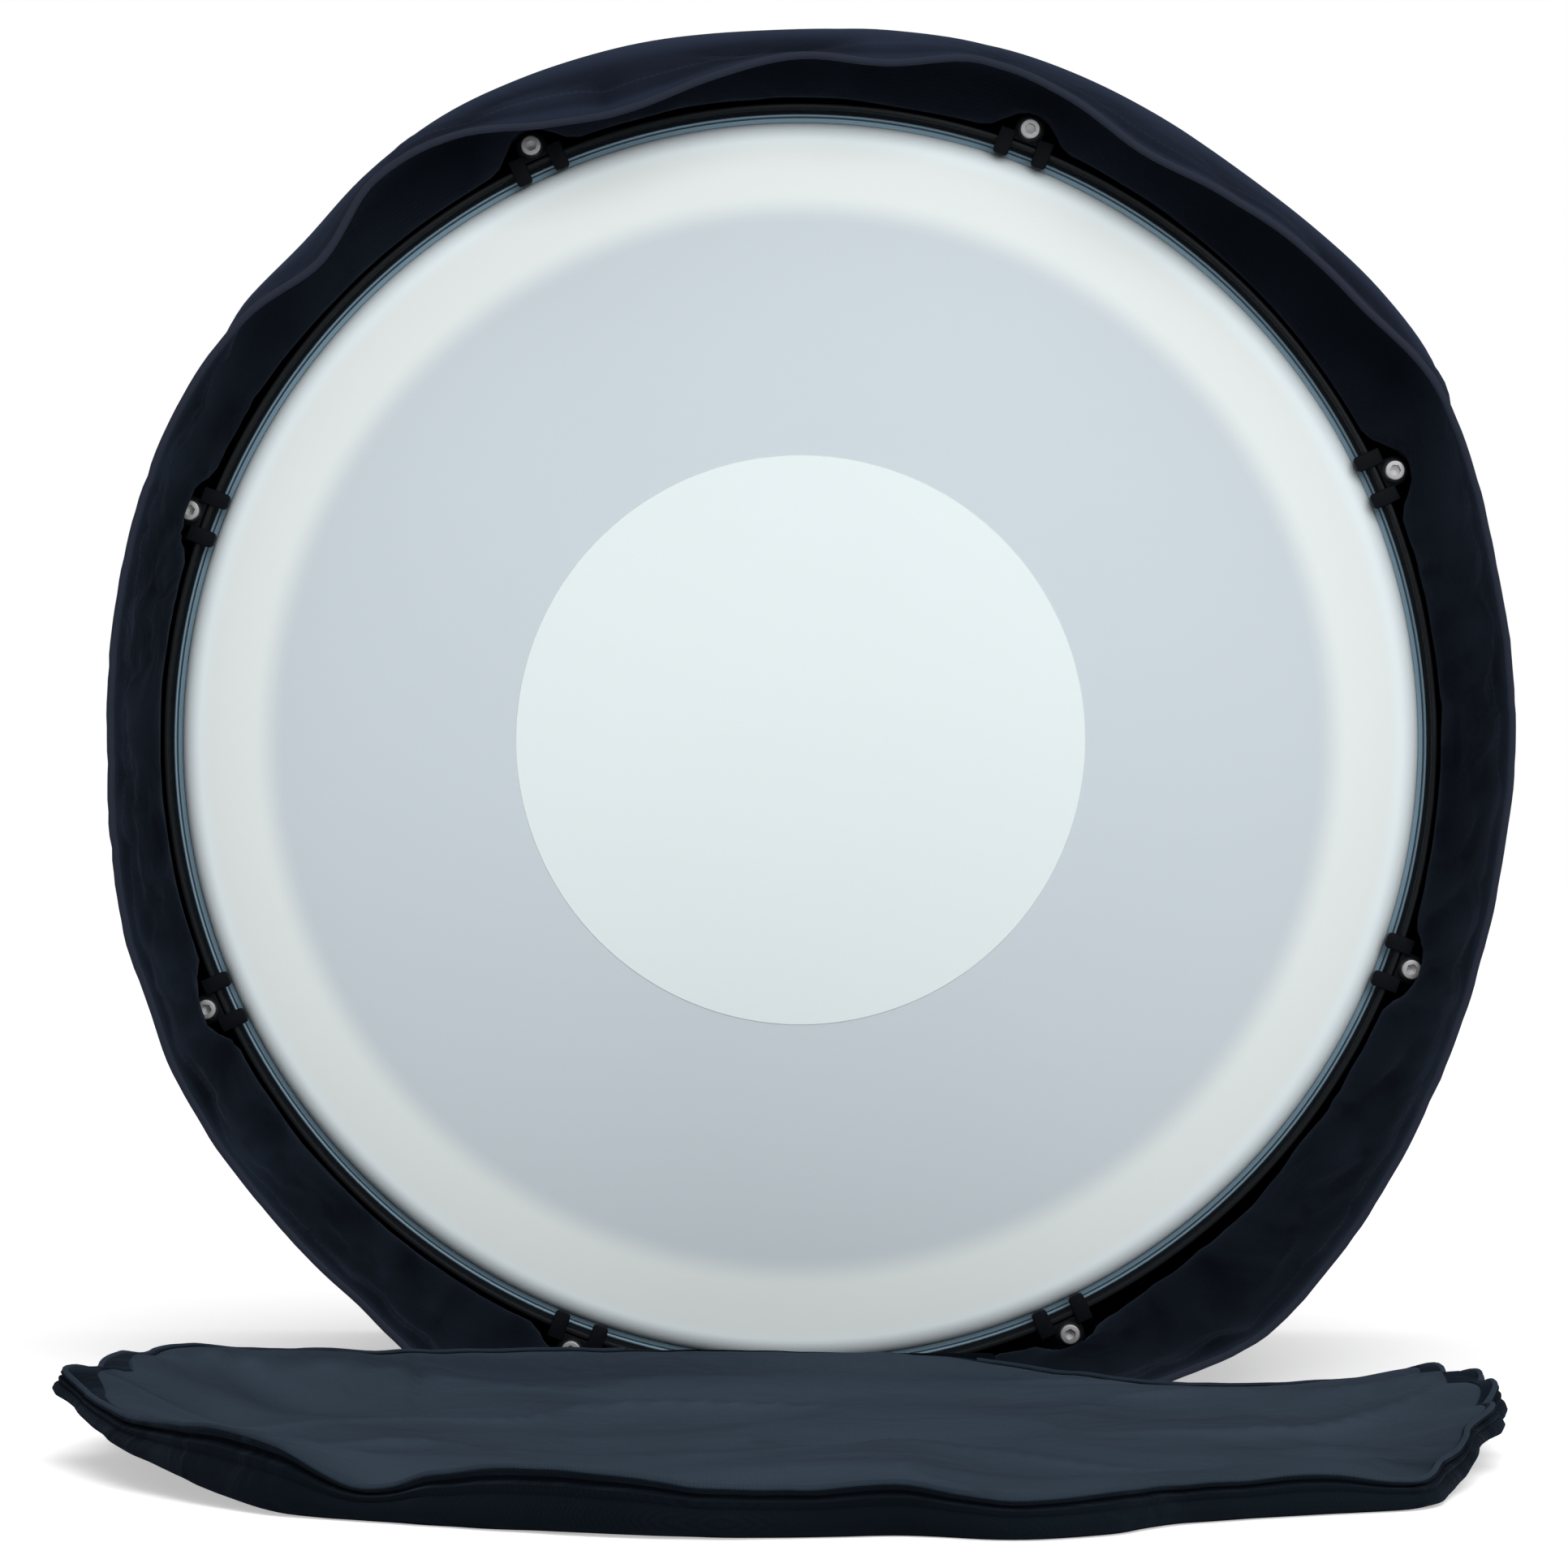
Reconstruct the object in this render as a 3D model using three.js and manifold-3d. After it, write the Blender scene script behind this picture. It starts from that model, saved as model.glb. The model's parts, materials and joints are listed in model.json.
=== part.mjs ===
// Marching bass drum standing in its open cloth bag, with the bag's lid folded down on the ground.
// Millimetres, +Z up. The drum's axis runs along Y and its front head faces -Y.
// The origin is on the ground, straight below the middle of the drum.

import * as THREE from "three";
import { mergeVertices } from "three/addons/utils/BufferGeometryUtils.js";
import Module from "manifold-3d";

// Driving dimensions of the drum
const shellRadius = 303.8;
const shellWall = 7.5;
const shellDepth = 305;
const edgeCrown = 1.5;
const edgeBevel = 5;
const rollDegrees = 1.9;
const tensionPoints = 8;

// Clearances and fineness
const seatGap = 0.3;
const runningGap = 0.4;
const overrun = 2;
const ringSides = 64;
const weldDistance = 1e-4;

// Heads: film, flesh hoop, centre dot and damping rings
const filmThickness = 0.5;
const collarRadius = 9.5;
const collarDrop = 8;
const collarStepShares = [0.4, 1];
const dotRadius = 141.5;
const dotThickness = 0.5;
const dampingFilmWidth = 38;
const dampingFilmThickness = 0.5;
const dampingFoamWidth = 27;
const dampingFoamThickness = 6;
const dampingInset = 2.5;
const channelGap = 0.6;
const channelWall = 1.2;
const channelOuterWall = 1.4;
const channelSlot = 5.8;
const channelHeight = 12;
const channelFloor = 2;
const filmInChannel = 7;

// Counter hoops
const hoopWall = 2.8;
const hoopDepth = 25;
const hoopProud = 5;
const hoopLip = 1.5;
const hoopLipThickness = 3;

// Tension rods: socket head screws with a captive washer
const rodRadius = 2.9;
const rodStandoff = 7;
const rodHeadRadius = 5;
const rodHeadHeight = 6;
const rodWasherRadius = 6.2;
const rodWasherThickness = 1.2;
const rodEngagement = 23;
const socketFlats = 5;
const socketDepth = 3.2;
const socketSides = 6;
const rodSides = 10;

// Claws
const fingerWidth = 9;
const fingerSpacing = 20;
const fingerInnerThickness = 7.4;
const fingerOuterThickness = 4;
const fingerTopThickness = 2.8;
const fingerInnerLength = 5.5;
const fingerClearance = 1.1;
const clawLength = 15;
const bossWall = 4;

// Lugs and the screws that hold them
const lugBarrelWall = 3.4;
const lugBarrelLength = 70;
const lugBoreDepth = 27;
const lugPostWidth = 9;
const lugPostLength = 42;
const lugFootWidth = 17;
const lugFootLength = 58;
const lugFootThickness = 3;
const lugScrewSpacing = 40;
const screwRadius = 2.2;
const screwHeadRadius = 4.6;
const screwHeadHeight = 3;
const screwSides = 6;

// Air vent
const ventBore = 4;
const ventWall = 1.6;
const ventFlange = 3.4;
const ventFlangeThickness = 1.5;
const ventSides = 12;

// Carrying eyes: a plate riveted to the shell, and a D ring that swings in its knuckle
const eyeSetback = 57.5;
const plateLength = 44;
const plateWidth = 16;
const plateThickness = 2.5;
const knuckleLength = 14;
const knuckleWall = 2.4;
const rivetRadius = 2;
const rivetHeadRadius = 4;
const rivetHeadHeight = 2;
const rivetSpacing = 32;
const ringWire = 2;
const ringWidth = 30;
const ringReach = 23;
const ringLean = 10;
const ringWireSides = 6;
const ringArcSteps = 8;

// Cloth bag
const bagWall = 3;
const bagSlack = 20;
const bagOverhang = 60;
const bagBackGap = 5;
const bagCorner = 22;
const bagSides = 60;
const bindingRadius = 2;
const bindingSides = 5;
// Outline of the bag seen from the front, every 15 degrees from +X towards +Z
const bagOutlineShares = [
  1.006, 1.012, 1.03, 1.016, 1.007, 1.006, 0.996, 1.003, 1.01, 0.99, 0.995, 0.984,
  0.978, 0.988, 1.004, 1.008, 1.035, 1.0, 1.0, 1.0, 1.045, 1.055, 1.023, 1.006,
];
// How far the unheld cloth of the rim hangs in, at the same angles
const rimDroopShares = [
  0.004, 0.008, 0.02, 0.04, 0.055, 0.045, 0.07, 0.1, 0.075, 0.03, 0.016, 0.01,
  0.008, 0.006, 0.004, 0.002, 0, 0, 0, 0, 0, 0.002, 0.004, 0.004,
];
const bagBackShare = 0.985;
const rimHalfwayDroopShare = 0.35;

// Lid of the bag: a round cover lying on the ground in front of the drum, joined to the bag's rim
const lidRadius = 335;
const lidJoinWidth = 190;
const lidThickness = 20;
const lidTuck = 14;
const lidTopInset = 9;
const lidDishInset = 60;
const lidDishShare = 0.7;
const lidBulgeShare = 0.5;
const lidPipingRadius = 2;
const lidPipingStart = 4;
const lidSides = 56;
// Outline of the lid seen from above, every 15 degrees from +X towards +Y when it lies open
const lidOutlineShares = [
  0.9, 0.98, 1.03, 1.03, 1.0, 1.0, 1.0, 1.0, 1.0, 1.01, 1.02, 1.02,
  0.96, 0.9, 0.915, 0.965, 0.985, 0.995, 0.985, 1.01, 0.95, 0.93, 0.91, 0.885,
];
// Height of its edge as it lies, at the same angles
const lidEdgeShares = [
  0.8, 1.1, 1.3, 0.95, 0.8, 1.05, 1.1, 1.15, 1.2, 1.3, 1.35, 1.35,
  1.35, 1.35, 1.35, 1.3, 0.9, 1.25, 1.05, 0.9, 1.05, 0.85, 0.75, 0.85,
];

// Places worked out from the sizes
const halfDepth = shellDepth / 2;
const shellInside = shellRadius - shellWall;
const filmInnerPlane = halfDepth + seatGap;
const filmOuterPlane = filmInnerPlane + filmThickness;
const filmFlatRadius = shellInside + edgeCrown;
const filmOuterRadius = filmFlatRadius + collarRadius;
const channelInner = shellRadius + channelGap;
const channelSlotInner = channelInner + channelWall;
const channelSlotOuter = channelSlotInner + channelSlot;
const channelOuter = channelSlotOuter + channelOuterWall;
const channelTop = filmOuterPlane - collarDrop;
const channelBottom = channelTop - channelHeight;
const hoopInner = channelOuter + seatGap;
const hoopOuter = hoopInner + hoopWall;
const hoopFront = filmOuterPlane + hoopProud;
const hoopBack = hoopFront - hoopDepth;
const lipBottom = channelTop + seatGap;
const lipTop = lipBottom + hoopLipThickness;
const rodCircle = hoopOuter + rodStandoff;
const boreRadius = rodRadius + runningGap;
const bossRadius = boreRadius + bossWall;
const clawTop = hoopFront + seatGap + fingerTopThickness;
const bossTop = clawTop - fingerTopThickness;
const washerSeat = bossTop + seatGap;
const rodHeadTop = washerSeat + rodWasherThickness + rodHeadHeight;
const lugBarrelEnd = lugBarrelLength / 2;
const rodTip = lugBarrelEnd - rodEngagement;
const facetShortfall = 1 - Math.cos(Math.PI / ringSides);
const shellInsideFlat = shellInside * (1 - facetShortfall);
const footBase = shellRadius + seatGap;
const eyeOffset = halfDepth - eyeSetback;
const drumHeight = hoopOuter + seatGap + bagWall;
const roll = THREE.MathUtils.degToRad(rollDegrees);
const bagRadius = rodCircle + bossRadius + bagSlack;
const bagBackInside = rodHeadTop + bagBackGap;
const bagBack = bagBackInside + bagWall;
const rimPlane = hoopFront + bagOverhang;
const bindingPlane = rimPlane + seatGap + bindingRadius;
const lidPlane = bindingPlane + bindingRadius + seatGap;
const lidMiddle = -lidPlane - Math.sqrt(lidRadius ** 2 - (lidJoinWidth / 2) ** 2);

const colours = {
  shell: [0x1a1a1c, 0.35, 0.0],
  film: [0xdfe6e6, 0.5, 0.0],
  dot: [0xeaf3f3, 0.45, 0.0],
  foam: [0xf0f0ec, 0.9, 0.0],
  channel: [0x9aa3a8, 0.35, 0.9],
  hoop: [0x14161a, 0.35, 0.3],
  steel: [0xb9bcc0, 0.25, 1.0],
  casting: [0x17181c, 0.45, 0.2],
  cloth: [0x1b202b, 0.85, 0.0],
};

const wasm = await Module();
wasm.setup();

// Solids

function toSolid(geometry) {
  const bare = geometry.clone();
  bare.deleteAttribute("normal");
  bare.deleteAttribute("uv");
  const welded = mergeVertices(bare, weldDistance);
  const mesh = new wasm.Mesh({
    numProp: 3,
    vertProperties: welded.attributes.position.array,
    triVerts: new Uint32Array(welded.index.array),
  });
  return new wasm.Manifold(mesh);
}

function toGeometry(solid) {
  const mesh = solid.getMesh();
  const geometry = new THREE.BufferGeometry();
  geometry.setAttribute("position", new THREE.BufferAttribute(mesh.vertProperties, mesh.numProp));
  geometry.setIndex(new THREE.BufferAttribute(mesh.triVerts, 1));
  geometry.computeVertexNormals();
  return geometry;
}

function join(geometries) {
  const solids = geometries.map(toSolid);
  return toGeometry(solids.reduce((sum, solid) => sum.add(solid)));
}

function cut(geometry, tools) {
  const start = toSolid(geometry);
  return toGeometry(tools.map(toSolid).reduce((left, tool) => left.subtract(tool), start));
}

// A ring or disc round the Y axis from a closed outline of [radius, height] pairs.
function turned(outline, sides) {
  const area = outline.reduce((sum, [r, y], i) => {
    const [nextR, nextY] = outline[(i + 1) % outline.length];
    return sum + r * nextY - nextR * y;
  }, 0);
  const ordered = area > 0 ? outline : [...outline].reverse();
  const points = ordered.map(([r, y]) => new THREE.Vector2(r, y));
  const onAxis = points[0].x === 0 && points.at(-1).x === 0;
  if (!onAxis) points.push(points[0].clone());
  return new THREE.LatheGeometry(points, sides);
}

// A round bar along Y between two heights, standing at a radius from the axis.
function bar(radius, from, to, atRadius, sides) {
  const geometry = new THREE.CylinderGeometry(radius, radius, to - from, sides);
  return geometry.translate(atRadius, (from + to) / 2, 0);
}

// A round pin along X between two radii, at a height.
function pin(radius, from, to, height, sides) {
  const geometry = new THREE.CylinderGeometry(radius, radius, to - from, sides);
  return geometry.rotateZ(-Math.PI / 2).translate((from + to) / 2, height, 0);
}

// A block given by its lowest and highest corner.
function block(low, high) {
  const size = high.map((value, i) => value - low[i]);
  const middle = high.map((value, i) => (value + low[i]) / 2);
  return new THREE.BoxGeometry(...size).translate(...middle);
}

// A closed skin through rings of equally many points.
// It joins its last ring to its first, or else has both ends capped at their middles.
function loft(rings, joinsUp = false) {
  const count = rings[0].length;
  const positions = rings.flat().flatMap((p) => [p.x, p.y, p.z]);
  const index = [];
  const bands = joinsUp ? rings.length : rings.length - 1;
  for (let ring = 0; ring < bands; ring++) {
    const here = ring * count;
    const there = ((ring + 1) % rings.length) * count;
    for (let i = 0; i < count; i++) {
      const next = (i + 1) % count;
      index.push(here + i, here + next, there + i, here + next, there + next, there + i);
    }
  }
  const cap = (ring, start, turn) => {
    const middle = ring.reduce((sum, p) => sum.add(p), new THREE.Vector3()).divideScalar(count);
    const hub = positions.length / 3;
    positions.push(middle.x, middle.y, middle.z);
    for (let i = 0; i < count; i++) {
      const next = start + ((i + 1) % count);
      index.push(...(turn ? [hub, start + i, next] : [hub, next, start + i]));
    }
  };
  if (!joinsUp) {
    cap(rings[0], 0, false);
    cap(rings.at(-1), (rings.length - 1) * count, true);
  }
  return facingOut(positions, index);
}

// A round tube along a path; its section is turned to the given side direction.
function tube(path, radius, sides, side, joinsUp) {
  const last = path.length - 1;
  const before = joinsUp ? path[last] : path[0];
  const after = joinsUp ? path[0] : path[last];
  const rings = path.map((point, i) => {
    const ahead = path[i + 1] ?? after;
    const behind = path[i - 1] ?? before;
    const along = ahead.clone().sub(behind).normalize();
    const across = along.clone().cross(side).normalize();
    const up = across.clone().cross(along).normalize();
    const ring = [];
    for (let k = 0; k < sides; k++) {
      const turn = (k / sides) * 2 * Math.PI;
      const spoke = across.clone().multiplyScalar(Math.cos(turn) * radius);
      ring.push(spoke.addScaledVector(up, Math.sin(turn) * radius).add(point));
    }
    return ring;
  });
  return loft(rings, joinsUp);
}

// Geometry from positions and triangles, turned round if its faces point in.
function facingOut(positions, index) {
  let volume = 0;
  const at = (i) => new THREE.Vector3().fromArray(positions, i * 3);
  for (let i = 0; i < index.length; i += 3) {
    volume += at(index[i]).dot(at(index[i + 1]).cross(at(index[i + 2])));
  }
  if (volume < 0) index.reverse();
  const geometry = new THREE.BufferGeometry();
  geometry.setAttribute("position", new THREE.Float32BufferAttribute(positions, 3));
  geometry.setIndex(index);
  geometry.computeVertexNormals();
  return geometry;
}

// Placing

function piece(name, geometry, finish) {
  const [color, roughness, metalness] = colours[finish];
  const mesh = new THREE.Mesh(geometry, new THREE.MeshStandardMaterial({ color, roughness, metalness }));
  mesh.name = name;
  return mesh;
}

// Turns a piece that was made at +X round the drum's axis, from +X towards +Z.
function round(mesh, angle) {
  mesh.rotation.y = -angle;
  return mesh;
}

// A group whose pieces are made for the rear end (+Y) and turned to face the front (-Y).
function facingFront(...meshes) {
  const group = new THREE.Group();
  group.rotation.x = Math.PI;
  group.add(...meshes);
  return group;
}

function stationAngle(station) {
  return ((station + 0.5) * 2 * Math.PI) / tensionPoints;
}

// Drum shell

function shellOutline() {
  const corners = [
    [shellInside, halfDepth - edgeCrown],
    [shellInside + edgeCrown, halfDepth],
    [shellRadius, halfDepth - edgeBevel],
  ];
  const mirrored = corners.map(([r, y]) => [r, -y]).reverse();
  return [...corners, ...mirrored];
}

// A hole through the shell's wall at +X, with running room for what passes through it.
function wallHole(radius, height, sides) {
  return pin(radius + runningGap, shellInside - overrun, shellRadius + overrun, height, sides);
}

function screwHoles() {
  const holes = [];
  for (let station = 0; station < tensionPoints; station++) {
    for (const side of [-1, 1]) {
      const hole = wallHole(screwRadius, (side * lugScrewSpacing) / 2, screwSides);
      holes.push(hole.rotateY(-stationAngle(station)));
    }
  }
  return holes;
}

function rivetHoles() {
  const holes = [];
  for (const end of [-1, 1]) {
    for (const side of [-1, 1]) {
      const height = end * eyeOffset + (side * rivetSpacing) / 2;
      holes.push(wallHole(rivetRadius, height, screwSides).rotateY(-Math.PI / 2));
    }
  }
  return holes;
}

function shell() {
  const ventHole = wallHole(ventBore + ventWall, 0, ventSides);
  const holes = [ventHole, ...screwHoles(), ...rivetHoles()];
  return piece("shell", cut(turned(shellOutline(), ringSides), holes), "shell");
}

// Heads

function film(name) {
  const collar = (radius) =>
    collarStepShares.map((share) => {
      const turn = (share * Math.PI) / 2;
      const drop = collarRadius - radius * Math.cos(turn);
      return [filmFlatRadius + radius * Math.sin(turn), filmOuterPlane - drop];
    });
  const filmEnd = channelTop - filmInChannel;
  const inner = collar(collarRadius - filmThickness);
  const outline = [
    [0, filmInnerPlane],
    [filmFlatRadius, filmInnerPlane],
    ...inner,
    [filmOuterRadius - filmThickness, filmEnd],
    [filmOuterRadius, filmEnd],
    ...collar(collarRadius).reverse(),
    [filmFlatRadius, filmOuterPlane],
    [0, filmOuterPlane],
  ];
  return piece(name, turned(outline, ringSides), "film");
}

function fleshHoop(name) {
  const outline = [
    [channelInner, channelBottom],
    [channelOuter, channelBottom],
    [channelOuter, channelTop],
    [channelSlotOuter, channelTop],
    [channelSlotOuter, channelBottom + channelFloor],
    [channelSlotInner, channelBottom + channelFloor],
    [channelSlotInner, channelTop],
    [channelInner, channelTop],
  ];
  return piece(name, turned(outline, ringSides), "channel");
}

function centreDot() {
  const base = filmOuterPlane + seatGap;
  const outline = [
    [0, base],
    [dotRadius, base],
    [dotRadius, base + dotThickness],
    [0, base + dotThickness],
  ];
  return piece("centre_dot", turned(outline, ringSides), "dot");
}

function flatRing(name, inner, outer, bottom, top, finish) {
  const outline = [
    [inner, bottom],
    [outer, bottom],
    [outer, top],
    [inner, top],
  ];
  return piece(name, turned(outline, ringSides), finish);
}

function dampingRings() {
  const outer = shellInside - dampingInset;
  const filmTop = filmInnerPlane - seatGap;
  const filmBottom = filmTop - dampingFilmThickness;
  const foamTop = filmBottom - seatGap;
  const foamBottom = foamTop - dampingFoamThickness;
  return [
    flatRing("damping_film_ring", outer - dampingFilmWidth, outer, filmBottom, filmTop, "dot"),
    flatRing("damping_foam_ring", outer - dampingFoamWidth, outer, foamBottom, foamTop, "foam"),
  ];
}

function counterHoop(name) {
  const outline = [
    [hoopInner, hoopBack],
    [hoopOuter, hoopBack],
    [hoopOuter, hoopFront],
    [hoopInner, hoopFront],
    [hoopInner, lipTop],
    [hoopInner - hoopLip, lipTop],
    [hoopInner - hoopLip, lipBottom],
    [hoopInner, lipBottom],
  ];
  return piece(name, turned(outline, ringSides), "hoop");
}

// Tension hardware

function tensionRod(name) {
  const washerTop = washerSeat + rodWasherThickness;
  const outline = [
    [0, rodTip],
    [rodRadius, rodTip],
    [rodRadius, washerSeat],
    [rodWasherRadius, washerSeat],
    [rodWasherRadius, washerTop],
    [rodHeadRadius, washerTop],
    [rodHeadRadius, rodHeadTop],
    [0, rodHeadTop],
  ];
  const socketRadius = socketFlats / 2 / Math.cos(Math.PI / socketSides);
  const socket = bar(socketRadius, rodHeadTop - socketDepth, rodHeadTop + overrun, 0, socketSides);
  const rod = piece(name, cut(turned(outline, rodSides), [socket]), "steel");
  rod.position.x = rodCircle;
  return rod;
}

function finger(side) {
  const middle = (side * fingerSpacing) / 2;
  const low = middle - fingerWidth / 2;
  const high = middle + fingerWidth / 2;
  const innerFace = hoopInner - fingerClearance;
  const inner = innerFace - fingerInnerThickness;
  const outerFace = hoopOuter + seatGap;
  const outer = outerFace + fingerOuterThickness;
  const topBase = clawTop - fingerTopThickness;
  return [
    block([inner, topBase - fingerInnerLength, low], [innerFace, clawTop, high]),
    block([inner, topBase, low], [outer, clawTop, high]),
    block([outerFace, clawTop - clawLength, low], [outer, clawTop, high]),
  ];
}

function claw(name) {
  const outerFace = hoopOuter + seatGap;
  const reach = fingerSpacing / 2;
  const base = clawTop - clawLength;
  const web = block([outerFace, base, -reach], [outerFace + fingerOuterThickness, bossTop, reach]);
  const boss = block([outerFace, base, -bossRadius], [rodCircle, bossTop, bossRadius]);
  const hoopSide = block(
    [outerFace - bossRadius, base - overrun, -bossRadius - overrun],
    [outerFace, bossTop + overrun, bossRadius + overrun],
  );
  const nose = cut(bar(bossRadius, base, bossTop, rodCircle, rodSides), [hoopSide]);
  const bore = bar(boreRadius, base - overrun, bossTop + overrun, rodCircle, rodSides);
  const solid = join([...finger(-1), ...finger(1), web, boss, nose]);
  return piece(name, cut(solid, [bore]), "casting");
}

function lugScrew(height) {
  const innerEnd = shellInsideFlat - seatGap;
  return [
    pin(screwRadius, innerEnd - overrun, footBase + overrun, height, screwSides),
    pin(screwHeadRadius, innerEnd - screwHeadHeight, innerEnd, height, screwSides),
  ];
}

// A double-ended lug, with the two screws that hold it joined to it.
function lug(name) {
  const barrelRadius = boreRadius + lugBarrelWall;
  const foot = block(
    [footBase, -lugFootLength / 2, -lugFootWidth / 2],
    [footBase + lugFootThickness, lugFootLength / 2, lugFootWidth / 2],
  );
  const post = block(
    [footBase, -lugPostLength / 2, -lugPostWidth / 2],
    [rodCircle, lugPostLength / 2, lugPostWidth / 2],
  );
  const barrel = bar(barrelRadius, -lugBarrelEnd, lugBarrelEnd, rodCircle, rodSides);
  const screws = [-1, 1].flatMap((side) => lugScrew((side * lugScrewSpacing) / 2));
  const depth = lugBarrelEnd - lugBoreDepth;
  const bores = [
    bar(boreRadius, depth, lugBarrelEnd + overrun, rodCircle, rodSides),
    bar(boreRadius, -lugBarrelEnd - overrun, -depth, rodCircle, rodSides),
  ];
  return piece(name, cut(join([foot, post, barrel, ...screws]), bores), "casting");
}

function airVent() {
  const barrel = ventBore + ventWall;
  const top = footBase + ventFlangeThickness;
  const outline = [
    [ventBore, shellInside],
    [barrel, shellInside],
    [barrel, footBase],
    [barrel + ventFlange, footBase],
    [barrel + ventFlange, top],
    [ventBore, top],
  ];
  return piece("air_vent", turned(outline, ventSides).rotateZ(-Math.PI / 2), "steel");
}

// Carrying eyes

const knuckleBore = ringWire + runningGap;
const ringPivot = footBase + plateThickness + knuckleBore + knuckleWall / 2;

function eyePlate(name, end) {
  const middle = end * eyeOffset;
  const halfLength = plateLength / 2;
  const halfWidth = plateWidth / 2;
  const knuckleRadius = knuckleBore + knuckleWall;
  const plate = block(
    [footBase, middle - halfLength, -halfWidth],
    [footBase + plateThickness, middle + halfLength, halfWidth],
  );
  const from = middle - knuckleLength / 2;
  const to = middle + knuckleLength / 2;
  const foot = block([footBase, from, -knuckleRadius], [ringPivot, to, knuckleRadius]);
  const knuckle = bar(knuckleRadius, from, to, ringPivot, rodSides);
  const innerEnd = shellInsideFlat - seatGap;
  const rivets = [-1, 1].flatMap((side) => {
    const height = middle + (side * rivetSpacing) / 2;
    return [
      pin(rivetRadius, innerEnd - rivetHeadHeight / 2, footBase + plateThickness / 2, height, screwSides),
      pin(rivetHeadRadius, innerEnd - rivetHeadHeight, innerEnd, height, screwSides),
    ];
  });
  const bore = bar(knuckleBore, from - overrun, to + overrun, ringPivot, rodSides);
  const mesh = piece(name, cut(join([plate, foot, knuckle, ...rivets]), [bore]), "steel");
  return round(mesh, Math.PI / 2);
}

// Half circle of the D, then its straight bar, in the plane of the ring.
function ringPath() {
  const half = ringWidth / 2;
  const shoulder = ringReach - half;
  const path = [];
  for (let step = 0; step <= ringArcSteps; step++) {
    const turn = -Math.PI / 2 + (step / ringArcSteps) * Math.PI;
    path.push(new THREE.Vector3(0, half * Math.sin(turn), shoulder + half * Math.cos(turn)));
  }
  for (const along of [half, half / 2, -half / 2, -half]) {
    path.push(new THREE.Vector3(0, along, 0));
  }
  return path;
}

function carryRing(name, end) {
  const across = new THREE.Vector3(1, 0, 0);
  const mesh = piece(name, tube(ringPath(), ringWire, ringWireSides, across, true), "steel");
  mesh.rotation.y = -THREE.MathUtils.degToRad(ringLean);
  mesh.position.set(ringPivot, end * eyeOffset, 0);
  const turner = new THREE.Group();
  turner.rotation.y = -Math.PI / 2;
  turner.add(mesh);
  return turner;
}

// Bag

// Value of a table that runs once round the circle, smoothly between its entries.
function aroundTable(table, angle) {
  const turns = (angle / (2 * Math.PI)) * table.length;
  const entry = Math.floor(turns);
  const t = turns - entry;
  const [a, b, c, d] = [-1, 0, 1, 2].map((k) => table[(entry + k + table.length) % table.length]);
  const bend = 2 * a - 5 * b + 4 * c - d + t * (3 * b - a - 3 * c + d);
  return b + (t / 2) * (c - a + t * bend);
}

// One ring of the bag: its outline scaled by a share, drawn in by an inset and kept above the ground.
function bagRing(y, share, droop, inset) {
  const ring = [];
  for (let i = 0; i < bagSides; i++) {
    const angle = (i / bagSides) * 2 * Math.PI;
    const hang = 1 - droop * aroundTable(rimDroopShares, angle);
    const radius = bagRadius * aroundTable(bagOutlineShares, angle) * share * hang - inset;
    const height = Math.max(inset, drumHeight + radius * Math.sin(angle));
    ring.push(new THREE.Vector3(radius * Math.cos(angle), y, height));
  }
  return ring;
}

const bagSeamShare = bagBackShare * (1 - bagCorner / bagRadius);

// The round panel behind the rear head, sewn to the side along its edge.
function bagBackPanel() {
  const rings = [bagBack, bagBackInside].map((y) => bagRing(y, bagSeamShare, 0, bagWall + seatGap));
  return piece("bag_back", loft(rings), "cloth");
}

// The long panel round the drum, from the back seam to the rim.
function bagSide() {
  const bend = bagCorner * (1 - Math.SQRT1_2);
  const stations = [
    [bagBack, bagSeamShare, 0],
    [bagBack - bend, bagBackShare * (1 - bend / bagRadius), 0],
    [bagBack - bagCorner, bagBackShare, 0],
    [-halfDepth, 1, 0],
    [-(hoopFront + rimPlane) / 2, 1, rimHalfwayDroopShare],
    [-rimPlane, 1, 1],
  ];
  const outer = stations.map(([y, share, droop]) => bagRing(y, share, droop, 0));
  const inner = stations.map(([y, share, droop]) => {
    return bagRing(Math.min(y, bagBackInside), share, droop, bagWall);
  });
  return piece("bag_side", loft([...outer, ...inner.reverse()], true), "cloth");
}

function rimBinding() {
  const path = bagRing(-bindingPlane, 1, 1, bindingRadius);
  const forward = new THREE.Vector3(0, 1, 0);
  return piece("rim_binding", tube(path, bindingRadius, bindingSides, forward, true), "cloth");
}

// One ring of the lid: its outline pushed out by an offset, at a share of its thickness.
function lidRing(offset, share) {
  const ring = [];
  for (let i = 0; i < lidSides; i++) {
    const angle = (i / lidSides) * 2 * Math.PI;
    const radius = lidRadius * aroundTable(lidOutlineShares, angle) + offset;
    const y = Math.min(lidMiddle + radius * Math.sin(angle), -lidPlane);
    const height = lidThickness * share * aroundTable(lidEdgeShares, angle);
    ring.push(new THREE.Vector3(radius * Math.cos(angle), y, height));
  }
  return ring;
}

// The lid's edge stands up a little all round its middle.
function bagLid() {
  const rings = [lidRing(-lidTuck, 0), lidRing(0, lidBulgeShare), lidRing(-lidTopInset, 1)];
  const dish = lidRing(-lidDishInset, 1);
  dish.forEach((point) => point.setZ(lidThickness * lidDishShare));
  return piece("bag_lid", loft([...rings, dish]), "cloth");
}

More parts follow.
